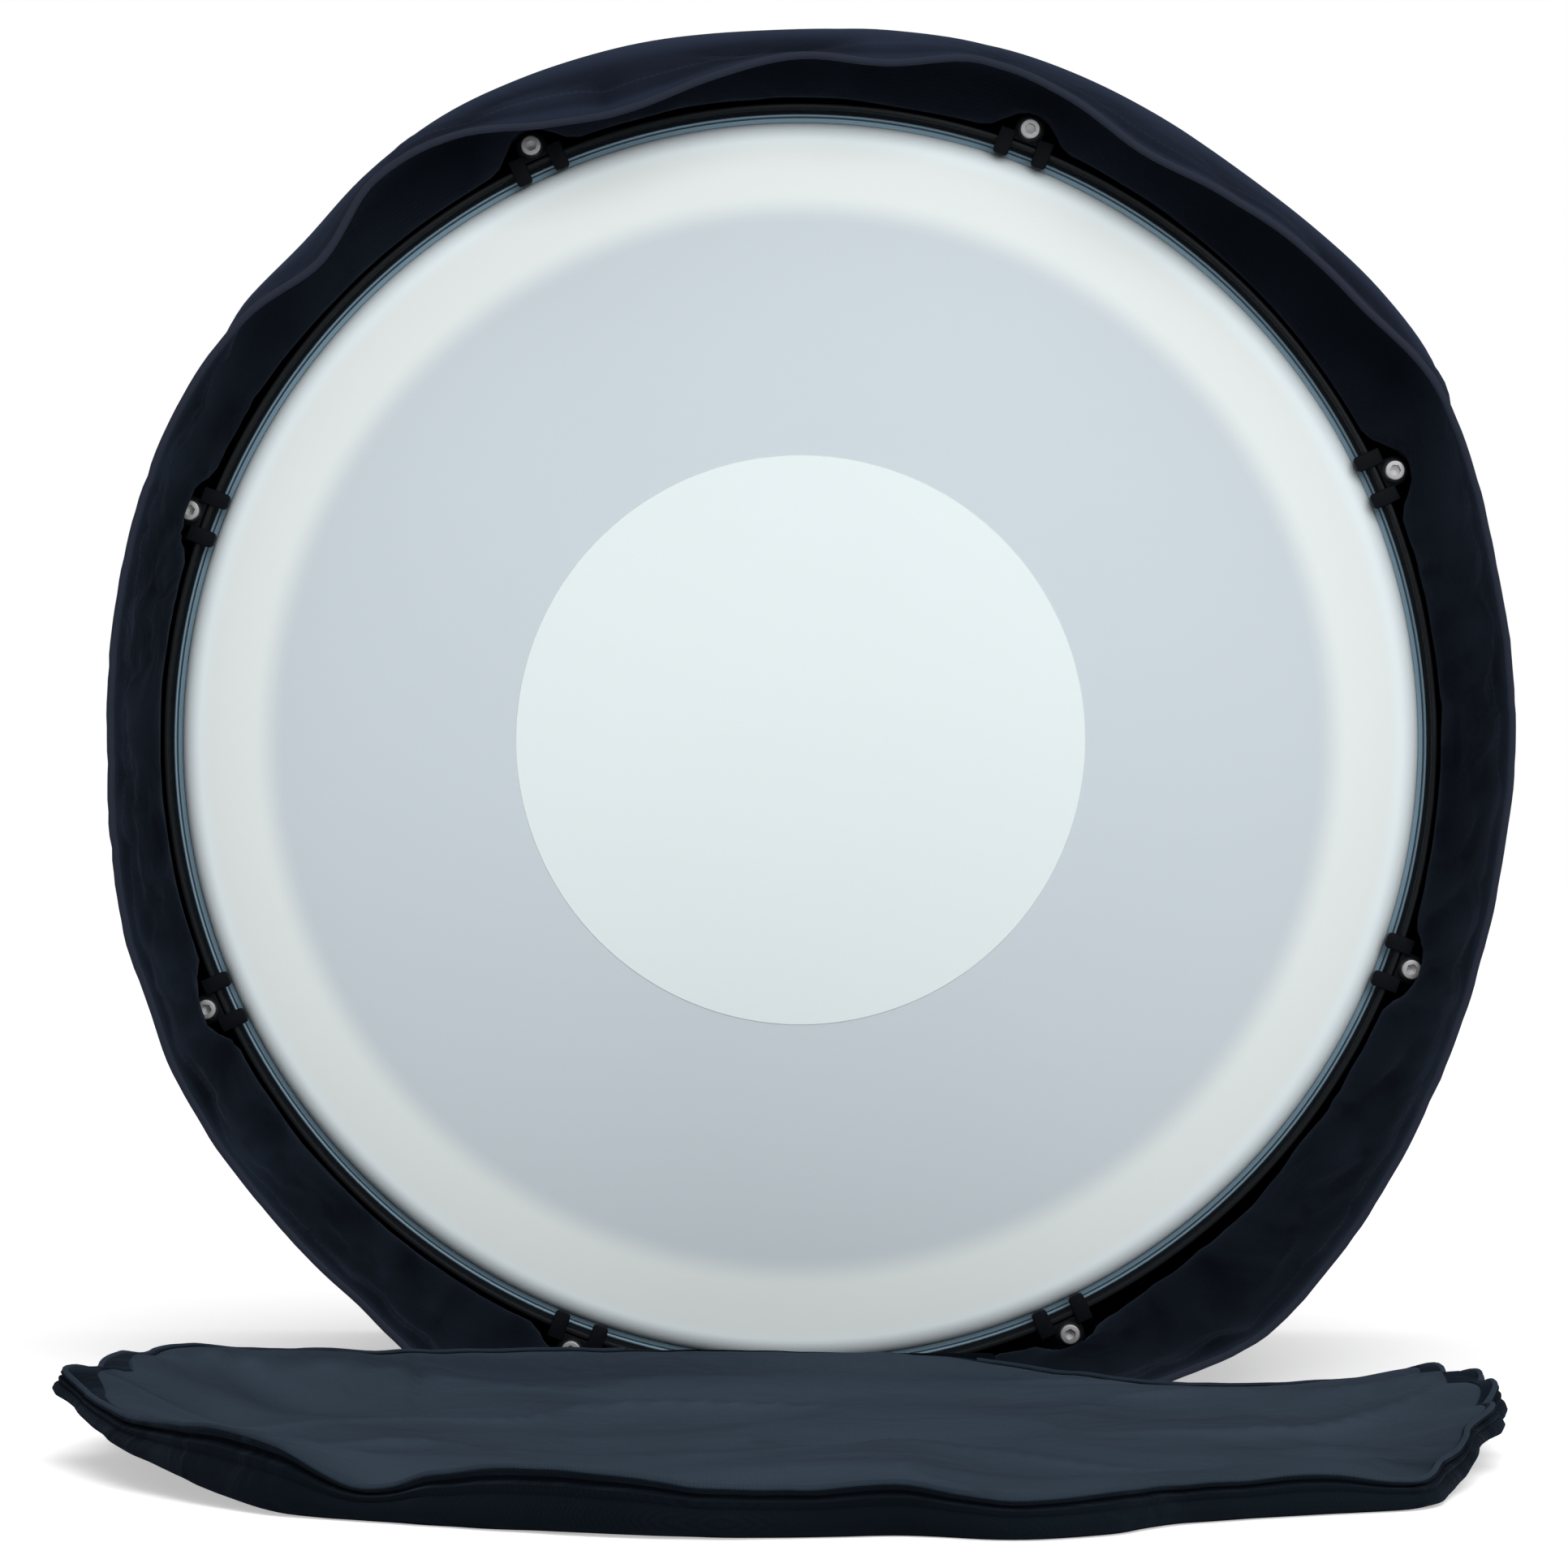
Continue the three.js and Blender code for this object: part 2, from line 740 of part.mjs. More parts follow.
// The piping runs round the free edge only, so it leaves out the stretch at the join.
function lidPiping() {
  const ring = lidRing(lidPipingRadius + seatGap, lidBulgeShare);
  const join = Math.round(lidSides / 4);
  const fromJoin = [...ring.slice(join), ...ring.slice(0, join)];
  const path = fromJoin.slice(lidPipingStart, 1 - lidPipingStart);
  const up = new THREE.Vector3(0, 0, 1);
  return piece("lid_piping", tube(path, lidPipingRadius, bindingSides, up, false), "cloth");
}

// Assembly

function drum() {
  const group = new THREE.Group();
  group.position.z = drumHeight;
  group.rotation.y = -roll;
  group.add(shell(), airVent());
  group.add(film("rear_head"), fleshHoop("rear_flesh_hoop"), counterHoop("rear_counter_hoop"));
  group.add(facingFront(film("front_head"), fleshHoop("front_flesh_hoop"), counterHoop("front_counter_hoop")));
  group.add(facingFront(centreDot(), ...dampingRings()));
  for (let station = 0; station < tensionPoints; station++) {
    const angle = stationAngle(station);
    const number = station + 1;
    const rear = new THREE.Group();
    rear.add(tensionRod(`rear_tension_rod_${number}`), claw(`rear_claw_${number}`));
    const front = facingFront(tensionRod(`front_tension_rod_${number}`), claw(`front_claw_${number}`));
    const stationGroup = new THREE.Group();
    stationGroup.add(lug(`lug_${number}`), rear, front);
    group.add(round(stationGroup, angle));
  }
  group.add(eyePlate("front_eye_plate", -1), carryRing("front_carry_ring", -1));
  group.add(eyePlate("rear_eye_plate", 1), carryRing("rear_carry_ring", 1));
  return group;
}

const part = new THREE.Group();
part.add(drum(), bagBackPanel(), bagSide(), rimBinding(), bagLid(), lidPiping());

export default part;
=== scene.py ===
"""Dresses the frame of a marching bass drum standing in its open cloth bag."""

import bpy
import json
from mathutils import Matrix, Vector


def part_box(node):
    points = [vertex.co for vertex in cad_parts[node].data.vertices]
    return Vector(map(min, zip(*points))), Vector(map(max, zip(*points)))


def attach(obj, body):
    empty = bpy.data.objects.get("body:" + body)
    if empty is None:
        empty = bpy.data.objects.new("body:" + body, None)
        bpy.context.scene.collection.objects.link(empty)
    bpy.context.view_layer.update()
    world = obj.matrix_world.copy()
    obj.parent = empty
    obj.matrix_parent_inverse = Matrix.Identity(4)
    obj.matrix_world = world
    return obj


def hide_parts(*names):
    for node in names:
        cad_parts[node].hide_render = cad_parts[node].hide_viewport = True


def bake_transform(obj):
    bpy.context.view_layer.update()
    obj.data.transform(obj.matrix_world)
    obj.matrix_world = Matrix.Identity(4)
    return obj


bl_info = {
    "name": "Marching bass drum in its bag",
    "version": (1, 0, 0),
    "blender": (4, 5, 0),
    "location": "View3D > Sidebar > Bass Drum",
    "description": "Finished drum, tension hardware, bag and lid, built round the drum's frame",
    "category": "Add Mesh",
}

import json
import math

import bmesh
import bpy
from bpy.props import FloatProperty, FloatVectorProperty, IntProperty, PointerProperty
from mathutils import Matrix, Vector, noise

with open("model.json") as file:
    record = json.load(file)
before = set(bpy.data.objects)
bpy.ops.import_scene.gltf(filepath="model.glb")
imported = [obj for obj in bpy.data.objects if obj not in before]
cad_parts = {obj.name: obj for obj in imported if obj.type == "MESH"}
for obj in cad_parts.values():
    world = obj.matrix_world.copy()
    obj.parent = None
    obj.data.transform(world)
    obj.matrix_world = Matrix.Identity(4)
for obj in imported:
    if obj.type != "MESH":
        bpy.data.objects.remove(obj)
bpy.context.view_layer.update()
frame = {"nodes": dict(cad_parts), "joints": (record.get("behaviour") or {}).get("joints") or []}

WELD = 1e-6
CASTING_WELD = 2e-5
TURN = 2 * math.pi
PLY_RADIUS = 0.2995

# Places taken from the frame
HOOP_LOW, HOOP_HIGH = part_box("front_counter_hoop")
FLESH_LOW, FLESH_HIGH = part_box("front_flesh_hoop")
HEAD_LOW, HEAD_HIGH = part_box("front_head")
ROD_LOW, ROD_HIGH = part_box("front_tension_rod_1")
CLAW_LOW, CLAW_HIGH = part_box("front_claw_1")
DOT_LOW, DOT_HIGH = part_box("centre_dot")
BAG_LOW, BAG_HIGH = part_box("bag_side")
AXIS_Z = (HOOP_LOW[2] + HOOP_HIGH[2]) / 2
HOOP_RADIUS = (HOOP_HIGH[0] - HOOP_LOW[0]) / 2
HOOP_FRONT = -HOOP_LOW[1]
HOOP_BACK = -HOOP_HIGH[1]
FILM_PLANE = -HEAD_LOW[1]
FILM_END = -HEAD_HIGH[1]
FLESH_RADIUS = (FLESH_HIGH[0] - FLESH_LOW[0]) / 2
FLESH_TOP = -FLESH_LOW[1]
FLESH_BOTTOM = -FLESH_HIGH[1]
DOT_RADIUS = (DOT_HIGH[0] - DOT_LOW[0]) / 2
ROD_TOP = -ROD_LOW[1]
ROD_TIP = -ROD_HIGH[1]
CLAW_TOP = -CLAW_LOW[1]
CLAW_BASE = -CLAW_HIGH[1]
BAG_RIM = -BAG_LOW[1]
BAG_BACK = BAG_HIGH[1]
LID_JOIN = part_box("bag_lid")[1][1]

ROD_JOINTS = {j["child"]: Vector(j["pos_m"]) for j in frame["joints"] if "tension_rod" in j["child"]}
ROD_ANGLES = {node: math.atan2(place.z - AXIS_Z, place.x) for node, place in ROD_JOINTS.items()}
ROD_CIRCLE = math.hypot(ROD_JOINTS["front_tension_rod_1"].x, ROD_JOINTS["front_tension_rod_1"].z - AXIS_Z)

# Small sizes of the drum's pieces, in metres
FILM_CENTRE = 0.002
DOT_GAP = 0.00005
FILM_CLEARANCE = 0.0002
GROOVE_FLOOR = 0.0019
FILL_UNDERSIDE = 0.0039
LIP_GAP = 0.0003
HOOP_EDGE = 0.0008
# Band of the film's collar painted lighter, as painted light on its curve: how far inside the flat it
# starts, and its width
COLLAR_PAINTED_LIGHT_INSET = 0.006
COLLAR_PAINTED_LIGHT_WIDTH = 0.008
ROD_CENTRE = 0.0004
ROD_POINT = 0.001
ROD_HEAD_EDGE = 0.0006
WASHER_UNDER_EDGE = 0.0002
WASHER_TOP_EDGE = 0.0003
SOCKET_CENTRE = 0.0002
SOCKET_OVERRUN = 0.001
SOCKET_CONE = 0.0004
FINGER_GAP_INSIDE = 0.0011
FINGER_GAP_OUTSIDE = 0.0004
CLAW_HOLE_CENTRE = 0.0001
CLAW_OVERRUN = 0.002
CLAW_EDGE = 0.0005
# Loops of the film as shares of its flat, and other shares of the drum's pieces
FILM_LOOP_SHARES = (0.25, 0.5, 0.75, 0.93, 0.985)
ROD_POINT_SHARE = 0.8
WASHER_SHARE = 1.24
WASHER_FROM_SHARE = 0.9
FINGER_CORNER_SHARE = 0.62

# Places along the bag, in metres in front of the drum's middle
HELD_FROM, HELD_TO, FALLS_IN = 0.09, 0.12, 0.146
SLACK_NECK, SLACK_RISE, SLACK_TOP = 0.164, 0.182, 0.2
FULL_NECK, FULL_RISE, FULL_CREST, FULL_FALL = 0.162, 0.178, 0.189, 0.203
LIT_CREST = 0.19
# How wide the crest is, as its creases fade and as painted light lightens it
CREST_WIDTH, LIT_CREST_WIDTH = 0.01, 0.011
# The bag's waist between the hoops: shares of its outline at the hoops and in the middle, and its reach
HOOP_SHARE, WAIST_SHARE, WAIST_REACH = 0.985, 0.974, 0.07
# Degrees over which the cloth starts and stops standing up before the hem, and the same for its smooth crest
PUFFED_FROM, PUFFED_TO = (16, 34), (141, 153)
SMOOTH_FROM, SMOOTH_TO = (8, 24), (150, 165)
# Room that the cloth leaves outside the hoop and over a claw, and how far from a rod that room changes
HOOP_ROOM, CLAW_ROOM, CLAW_ROOM_REACH = 0.0036, 0.018, (0.004, 0.026)
# How far past the rods the cloth may start to fall in front of the drum, and by what share of its radius
PAST_RODS, PAST_RODS_SHARE = 0.001, 0.2
FLOOR_SOFTNESS = 0.003
TOUCH_SOFTNESS = 0.0012
STITCH_FROM_HEM = 0.009
# Painted shade in the groove beside the binding: its distance from the hem and its width; then the level and
# steepness that turn the side's folds into painted light and shade
GROOVE_FROM_HEM, GROOVE_WIDTH = 0.0055, 0.002
SIDE_PAINTED_LIGHT_LEVEL, SIDE_PAINTED_LIGHT_STEEPNESS = 0.0032, 130
# How dark the painted shade in folds and how light the painted light on their backs make the cloth, and how
# far in from the hem painted shade darkens the mouth's lining
PAINTED_SHADE_DARKEST, PAINTED_LIGHT_LIGHTEST, PAINTED_LIGHT_SHARE = -0.45, 0.35, 2.4
DEEP_SHADE_FROM_HEM = (0.006, 0.048)
# Strength of the painted light on the crest and of the painted shade in the groove, and the share by which
# the crest's creases are smoothed
LIT_CREST_SHARE, GROOVE_SHARE, SMOOTH_CREST_SHARE = 0.42, 0.4, 0.92
# Depths along Y over which the mouth's creases give way to long folds, and over which they grow from the hem
LONG_FOLDS_FROM, HEM_CREASES_FROM = (-0.2, -0.13), (-BAG_RIM - 0.004, -BAG_RIM + 0.012)
# Loops of points of the bag: round its back corner, behind, at the mouth and over its back
CORNER_LOOPS, REAR_LOOPS, MOUTH_LOOPS, BACK_LOOPS = 6, 40, 42, 20
BACK_HOLLOW, BACK_CREASE = 0.0016, 0.001

# Small sizes of the lid, in metres
LEAST_EDGE = 0.008
EDGE_WAVE, EDGE_RIPPLE, TOP_RIPPLE = 0.002, 0.0012, 0.0008
PLEAT_LIFT_SHARE, PLEAT_FULL_SHARE = 0.7, 0.6
LINING_FROM = 0.001
PIPING_STOP, PIPING_LIFT_SHARE = 0.001, 0.3
FLAP, FLAP_AT_TIPS, FLAP_FAR = 0.0055, 0.015, 0.003
FLAP_SEAM = 0.0012
FLAP_TIPS, FLAP_TIP_REACH = (17, 176), 0.22
PANEL_SEAM, PANEL_FLAT, PANEL_RUMPLED = 0.008, 0.085, 0.03
PANEL_CENTRE = 0.01
PANEL_LOOPS = 30
UNDER_BEND, UNDER_LIFT_SHARE = 0.06, 0.35
UNDER_INSET_SHARES = (0.985, 0.7, 0.45, 0.27)
LID_RUMPLE, LID_CREASE = 0.0075, 0.004
# Painted light on the lining's slopes that face the front and painted shade on those that face away: its
# strength, and the reach over which a slope is read
LID_PAINTED_LIGHT, LID_PAINTED_LIGHT_REACH = 1.3, 0.004
# Strip that joins the lid: its flat depth, its cloth, and the (y, z) line along which it hangs
JOIN_DEPTH, JOIN_CLOTH = 0.022, 0.0012
JOIN_LINE = (
    (-BAG_RIM - 0.0012, 0.0026), (-BAG_RIM - 0.0028, 0.008), (LID_JOIN + 0.0012, 0.014), (LID_JOIN, 0.021),
)
JOIN_COLUMNS = 40

# Lamps: the key's place and what it points at, and the top light's tilt and width in degrees
KEY_PLACE, KEY_AIM = (0.7, -3.0, 1.5), (0, -0.15, 0.35)
TOP_TILT, TOP_WIDTH = 12, 60
FLOOR_DROP = 0.0002


def length(name, description, default):
    """A size in metres that the user can change."""
    return FloatProperty(name=name, description=description, default=default, unit="LENGTH", precision=4)


def amount(name, description, default, low=0, high=1000):
    """A plain number that the user can change, between limits."""
    return FloatProperty(name=name, description=description, default=default, min=low, max=high)


class DrumSizes(bpy.types.PropertyGroup):
    """Sizes of the drum's finished pieces."""

    flat_radius: length("Flat of the head", "Radius at which the film starts to curve down", 0.2978)
    collar_radius: length("Collar", "Radius of the film's curve over the bearing edge", 0.0095)
    film_thickness: length("Film", "Thickness of the film", 0.0005)
    dot_thickness: length("Dot", "Thickness of the centre dot", 0.0003)
    clear_radius: length("Clear zone", "Radius inside which nothing lies behind the film", 0.256)
    clear_fade: length("Fade", "Width over which the damping ring shows through", 0.016)
    flesh_width: length("Flesh hoop", "Width of the flesh hoop", 0.0084)
    flesh_rim: length("Flesh hoop's rim", "Width of the bright rim outside the film", 0.003)
    flesh_wall: length("Flesh hoop's wall", "Thickness of the wall inside the film", 0.0012)
    hoop_wall: length("Hoop wall", "Thickness of the counter hoop", 0.0028)
    hoop_lip: length("Hoop lip", "How far the counter hoop's lip reaches in", 0.0015)
    hoop_lip_thickness: length("Lip thickness", "Thickness of the counter hoop's lip", 0.003)
    claw_bar: length("Claw bar", "Thickness of a claw where it lies over the hoop", 0.0028)
    finger_width: length("Finger", "Width of one finger of a claw", 0.0078)
    finger_spacing: length("Finger spacing", "Distance between the middles of a claw's fingers", 0.02)
    finger_inner: length("Inner finger", "Thickness of a finger inside the hoop", 0.0054)
    finger_reach: length("Finger reach", "How far a finger reaches down inside the hoop", 0.0055)
    finger_outer: length("Outer finger", "Thickness of a finger outside the hoop", 0.004)
    claw_boss: length("Claw boss", "Radius of the claw's boss round the rod", 0.0073)
    claw_bore: length("Claw bore", "Radius of the hole for the rod", 0.0033)
    rod_radius: length("Rod", "Radius of a tension rod's thread", 0.0029)
    head_radius: length("Rod head", "Radius of a tension rod's head", 0.005)
    head_height: length("Rod head's height", "Height of a tension rod's head", 0.006)
    washer: length("Washer", "Thickness of a tension rod's washer", 0.0012)
    socket_flats: length("Socket", "Width across the flats of a rod's socket", 0.005)
    socket_depth: length("Socket depth", "Depth of a rod's socket", 0.0032)
    ring_sides: IntProperty(
        name="Sides", description="Faces round a hoop or head", default=256, min=64, max=512
    )


class BagSizes(bpy.types.PropertyGroup):
    """Sizes of the bag's cloth and trim."""

    radius: length("Radius", "Radius that the bag's tables of shares refer to", 0.3502)
    corner: length("Back corner", "Radius of the bend between the bag's side and its back", 0.022)
    cloth: length("Cloth", "Thickness of cloth and lining together", 0.0025)
    fold: length("Folds", "Depth of the side's long folds", 0.0045)
    crease: length("Creases", "Depth of the fine creases of the cloth in front", 0.0075)
    binding: length("Binding", "Radius of the binding round the bag's mouth", 0.0018)
    seam: length("Back seam", "Radius of the piping along the seam of the back", 0.002)
    lid_radius: length("Lid", "Radius of the round lid", 0.335)
    lid_height: length("Lid height", "Height that the lid's tables of shares refer to", 0.02)
    lid_dish: length("Lid dish", "Height of the lid's middle as it lies", 0.0135)
    lid_join: length("Join", "Width over which the lid is joined to the bag", 0.19)
    piping: length("Piping", "Radius of the lid's piping", 0.0013)
    pleat: length("Pleats", "Depth of the pleats at the lid's tips", 0.0036)
    around: IntProperty(
        name="Faces around", description="Faces round the bag and lid", default=360, min=96, max=480
    )


def colour(name, description, value):
    """A colour that the user can change."""
    return FloatVectorProperty(
        name=name, description=description, subtype="COLOR", size=4, min=0, max=1, default=(*value, 1)
    )


class DrumColours(bpy.types.PropertyGroup):
    """Colours of the drum and the bag, as the light leaves them."""

    clear_film: colour("Film", "Film with the empty drum behind it", (0.54, 0.607, 0.648))
    backed_film: colour("Film over the ring", "Film with the white ring behind it", (0.735, 0.785, 0.78))
    # The collar's colour is the film painted lighter, as painted light on its curve
    collar_film_painted_light: colour("Film's collar", "Film where it curves over the shell's edge", (0.76, 0.84, 0.87))
    dot: colour("Dot", "Centre dot", (0.72, 0.795, 0.805))
    steel: colour("Steel", "Plated rods and fittings", (0.2, 0.2, 0.205))
    aluminium: colour("Aluminium", "Flesh hoops", (0.11, 0.165, 0.205))
    coat: colour("Black coat", "Powder coat of hoops, claws and lugs", (0.003, 0.004, 0.0055))
    lacquer: colour("Lacquer", "Outside of the shell", (0.01, 0.01, 0.012))
    ply: colour("Ply", "Inside of the shell", (0.42, 0.27, 0.14))
    foam: colour("Foam", "Damping foam", (0.78, 0.78, 0.76))
    cloth: colour("Cloth", "Outer cloth of the bag", (0.0115, 0.0152, 0.0262))
    mouth: colour("Inside of the bag", "Lining of the bag behind its mouth", (0.0098, 0.0138, 0.0215))
    # Outer cloth of the lid: the bag's cloth painted darker, as painted shade on the lid's edge
    lid: colour("Lid", "Outer cloth of the lid", (0.0034, 0.0056, 0.008))
    # Lining of the lid's top: its own lining cloth, and painted lighter as painted light from above
    lining: colour("Lid lining", "Top of the open lid", (0.0215, 0.0315, 0.0435))
    thread: colour("Thread", "Stitches along the hem", (0.0145, 0.018, 0.031))
    binding: colour("Binding", "Binding and piping", (0.0148, 0.019, 0.032))
    floor: colour("Floor", "Pale floor", (0.9, 0.9, 0.9))


class StageSettings(bpy.types.PropertyGroup):
    """Camera, lamps and floor."""

    camera_distance: length("Camera distance", "From the camera to the front hoop", 3.35)
    camera_height: length("Camera height", "Height of the camera", 0.2974)
    camera_side: length("Camera side", "Camera's place to the right of the drum's middle", -0.0082)
    lens: amount("Lens", "Focal length in millimetres", 155.2, 20, 400)
    sensor: amount("Sensor", "Width of the sensor in millimetres", 36, 10, 60)
    floor_size: length("Floor", "Width of the floor", 30)
    key: amount("Key light", "Power of the soft light in front, in watts", 60)
    key_size: length("Key size", "Width of the soft light in front", 1.8)
    top: amount("Top light", "Strength of the soft light from above", 1.15)
    fill: amount("Fill light", "Strength of the light from all round", 0.34)
    floor_glow: amount("Floor glow", "How much the floor is lifted to white", 0.45)


# Shares of the bag's radius every 15 degrees, from +X towards +Z, where the drum holds it
HELD_SHARES = (
    1.003, 1.006, 1.015, 1.008, 1.004, 1.003, 0.998, 1.002, 1.005, 0.995, 0.998, 0.992,
    0.989, 0.994, 1.002, 1.004, 1.018, 1.0, 1.0, 1.0, 1.022, 1.028, 1.012, 1.003,
)
# The same at the neck, where the cloth falls in just before the front hoop
NECK_SHARES = (
    0.916, 0.914, 0.914, 0.918, 0.92, 0.92, 0.92, 0.918, 0.914, 0.914, 0.924, 0.916,
    0.912, 0.912, 0.912, 0.912, 0.914, 0.918, 0.92, 0.928, 0.935, 0.925, 0.916, 0.916,
)
# Outline of the mouth, every 7.5 degrees
MOUTH_SHARES = (
    0.994, 0.996, 0.999, 1.01, 1.021, 1.013, 1.002, 0.994, 0.994, 0.995, 0.994, 0.988,
    0.981, 0.983, 0.989, 0.993, 0.994, 0.985, 0.972, 0.978, 0.984, 0.981, 0.974, 0.969,
    0.965, 0.97, 0.978, 0.982, 0.992, 0.991, 0.995, 1.002, 1.02, 1.005, 0.97, 0.95,
    0.945, 0.95, 0.985, 1.012, 1.032, 1.053, 1.04, 1.025, 1.01, 0.999, 0.993, 0.991,
)
# How far the unheld hem droops in from that outline, at the same angles
DROOP_SHARES = (
    0.0, 0.0, 0.0, 0.0, 0.006, 0.021, 0.021, 0.03, 0.043, 0.022, 0.012, 0.036,
    0.026, 0.05, 0.077, 0.066, 0.02, 0.003, 0.026, 0.003, 0.0, 0.0, 0.0, 0.0,
    0.0, 0.0, 0.0, 0.0, 0.0, 0.0, 0.0, 0.0, 0.0, 0.0, 0.0, 0.0,
    0.0, 0.0, 0.0, 0.0, 0.0, 0.0, 0.0, 0.0, 0.0, 0.0, 0.0, 0.0,
)
# Soft folds of the cloth round the mouth: both ends (angle in degrees, millimetres forward), height in
# metres and half width in the units of the ends
BAG_FOLDS = (
    (126, 192, 106, 205, -0.0025, 5.0),
    (103, 196, 82, 206, -0.0022, 5.0),
    (72, 200, 47, 194, -0.0025, 5.0),
    (164, 200, 138, 206, -0.002, 5.0),
    (205, 196, 178, 205, -0.0025, 5.0),
    (238, 190, 214, 206, -0.0025, 5.0),
    (330, 190, 306, 204, -0.003, 6.0),
    (358, 195, 338, 206, -0.002, 5.0),
)
# Lid seen from above, from +X towards +Y: shares of its radius every 7.5 degrees
LID_OUTLINE_SHARES = (
    0.912, 0.922, 0.948, 0.972, 0.99, 1.0, 1.0, 1.0, 1.0, 1.0, 1.0, 1.0,
    1.0, 1.0, 1.0, 1.0, 1.0, 1.0, 1.0, 1.0, 1.0, 0.99, 0.965, 0.965,
    0.966, 0.949, 0.933, 0.921, 0.913, 0.914, 0.914, 0.892, 0.89, 0.9, 0.912, 0.918,
    0.895, 0.885, 0.955, 0.94, 0.88, 0.88, 0.905, 0.95, 0.925, 0.9, 0.889, 0.898,
)
# Shares of the lid's height: underside of its edge every 15 degrees
LID_UNDER_SHARES = (
    0.8, 0.9, 0.5, 0.1, 0.05, 0.05, 0.05, 0.05, 0.3, 0.6, 1.0, 1.3,
    1.5, 1.05, 0.5, 0.05, 0.0, 0.05, 0.0, 0.0, 0.0, 0.0, 0.05, 0.6,
)
# Top of its edge every 7.5 degrees
LID_TOP_SHARES = (
    1.4, 1.5, 1.45, 1.4, 1.28, 0.9, 0.66, 0.48, 0.45, 0.62, 0.85, 1.0,
    1.05, 1.1, 1.1, 1.15, 1.2, 1.3, 1.45, 1.6, 1.85, 1.85, 1.85, 1.92,
    1.9, 1.75, 1.6, 1.5, 1.55, 1.6, 1.4, 0.65, 1.05, 1.28, 1.23, 1.03,
    0.95, 1.04, 0.77, 0.86, 0.81, 0.79, 0.82, 0.55, 0.77, 0.85, 1.1, 1.2,
)
# Bunched cloth at the lid's tips: middle angle, reach and pitch in degrees
LID_PLEATS = ((11, 26, 12), (172, 18, 16))
# Soft folds of the lid's lining: both ends (x, y), height and half width in metres
LID_FOLDS = (
    (-0.185, -0.25, -0.171, -0.47, -0.0035, 0.0035),
    (0.185, -0.4, 0.2, -0.57, 0.0025, 0.009),
    (0.205, -0.59, 0.255, -0.67, 0.003, 0.012),
    (0.01, -0.65, 0.06, -0.69, 0.0022, 0.011),
    (-0.21, -0.56, -0.14, -0.66, 0.0025, 0.014),
    (-0.05, -0.72, 0.1, -0.78, 0.0025, 0.016),
    (0.1, -0.46, 0.16, -0.7, -0.002, 0.02),
    (-0.27, -0.42, -0.23, -0.55, 0.003, 0.016),
)


def drum_sizes():
    return bpy.context.scene.drum_sizes


def bag_sizes():
    return bpy.context.scene.bag_sizes


def colours():
    return bpy.context.scene.drum_colours


# Modelling helpers

def deselect_all():
    if bpy.context.object and bpy.context.object.mode != "OBJECT":
        bpy.ops.object.mode_set(mode="OBJECT")
    bpy.ops.object.select_all(action="DESELECT")


def pick(piece):
    """Makes a piece the only selected and active one."""
    deselect_all()
    piece.select_set(True)
    bpy.context.view_layer.objects.active = piece


def apply_modifier(piece, kind, **settings):
    """Adds a modifier to a piece, sets it and applies it."""
    pick(piece)
    modifier = piece.modifiers.new(kind.title(), kind)
    for key, value in settings.items():
        setattr(modifier, key, value)
    bpy.ops.object.modifier_apply(modifier=modifier.name)


def smooth(piece, degrees=35):
    pick(piece)
    bpy.ops.object.shade_smooth_by_angle(angle=math.radians(degrees))


def turned(name, profile, sides, end=1, middle=(0.0, None)):
    """A piece turned about an axis along Y, from (radius, height) pairs counted outwards at one end."""
    x, z = middle[0], AXIS_Z if middle[1] is None else middle[1]
    deselect_all()
    radius, height = profile[0]
    bpy.ops.mesh.primitive_circle_add(
        vertices=sides, radius=radius, location=(x, end * height, z), rotation=(math.pi / 2, 0, 0)
    )
    piece = bpy.context.object
    piece.name = piece.data.name = name
    bpy.ops.object.transform_apply(location=True, rotation=True, scale=True)
    bpy.ops.object.mode_set(mode="EDIT")
    bpy.ops.mesh.select_all(action="SELECT")
    for next_radius, next_height in profile[1:]:
        ratio = next_radius / radius
        bpy.ops.mesh.extrude_region_move(
            TRANSFORM_OT_translate={"value": (0, end * (next_height - height), 0)}
        )
        bpy.ops.transform.resize(value=(ratio, 1, ratio), center_override=(x, 0, z))
        radius, height = next_radius, next_height
    bpy.ops.mesh.select_all(action="SELECT")
    bpy.ops.mesh.remove_doubles(threshold=WELD)
    bpy.ops.mesh.select_all(action="DESELECT")
    if profile[0] != profile[-1]:
        bpy.ops.mesh.select_non_manifold()
        bpy.ops.mesh.fill_holes(sides=0)
    bpy.ops.mesh.select_all(action="SELECT")
    bpy.ops.mesh.normals_make_consistent(inside=False)
    bpy.ops.object.mode_set(mode="OBJECT")
    return piece


def block(name, low, high):
    """A box between two corners, for a casting that is joined up from several."""
    deselect_all()
    middle = [(a + b) / 2 for a, b in zip(low, high)]
    bpy.ops.mesh.primitive_cube_add(size=1, location=middle)
    piece = bpy.context.object
    piece.name = piece.data.name = name
    piece.scale = [b - a for a, b in zip(low, high)]
    bpy.ops.object.transform_apply(location=True, rotation=True, scale=True)
    return piece


def arc(middle, radius, start, stop, steps):
    """Points (radius, height) on an arc about a middle, from one angle in degrees to another."""
    points = []
    for step in range(steps + 1):
        turn = math.radians(start + (stop - start) * step / steps)
        points.append((middle[0] + radius * math.cos(turn), middle[1] + radius * math.sin(turn)))
    return points


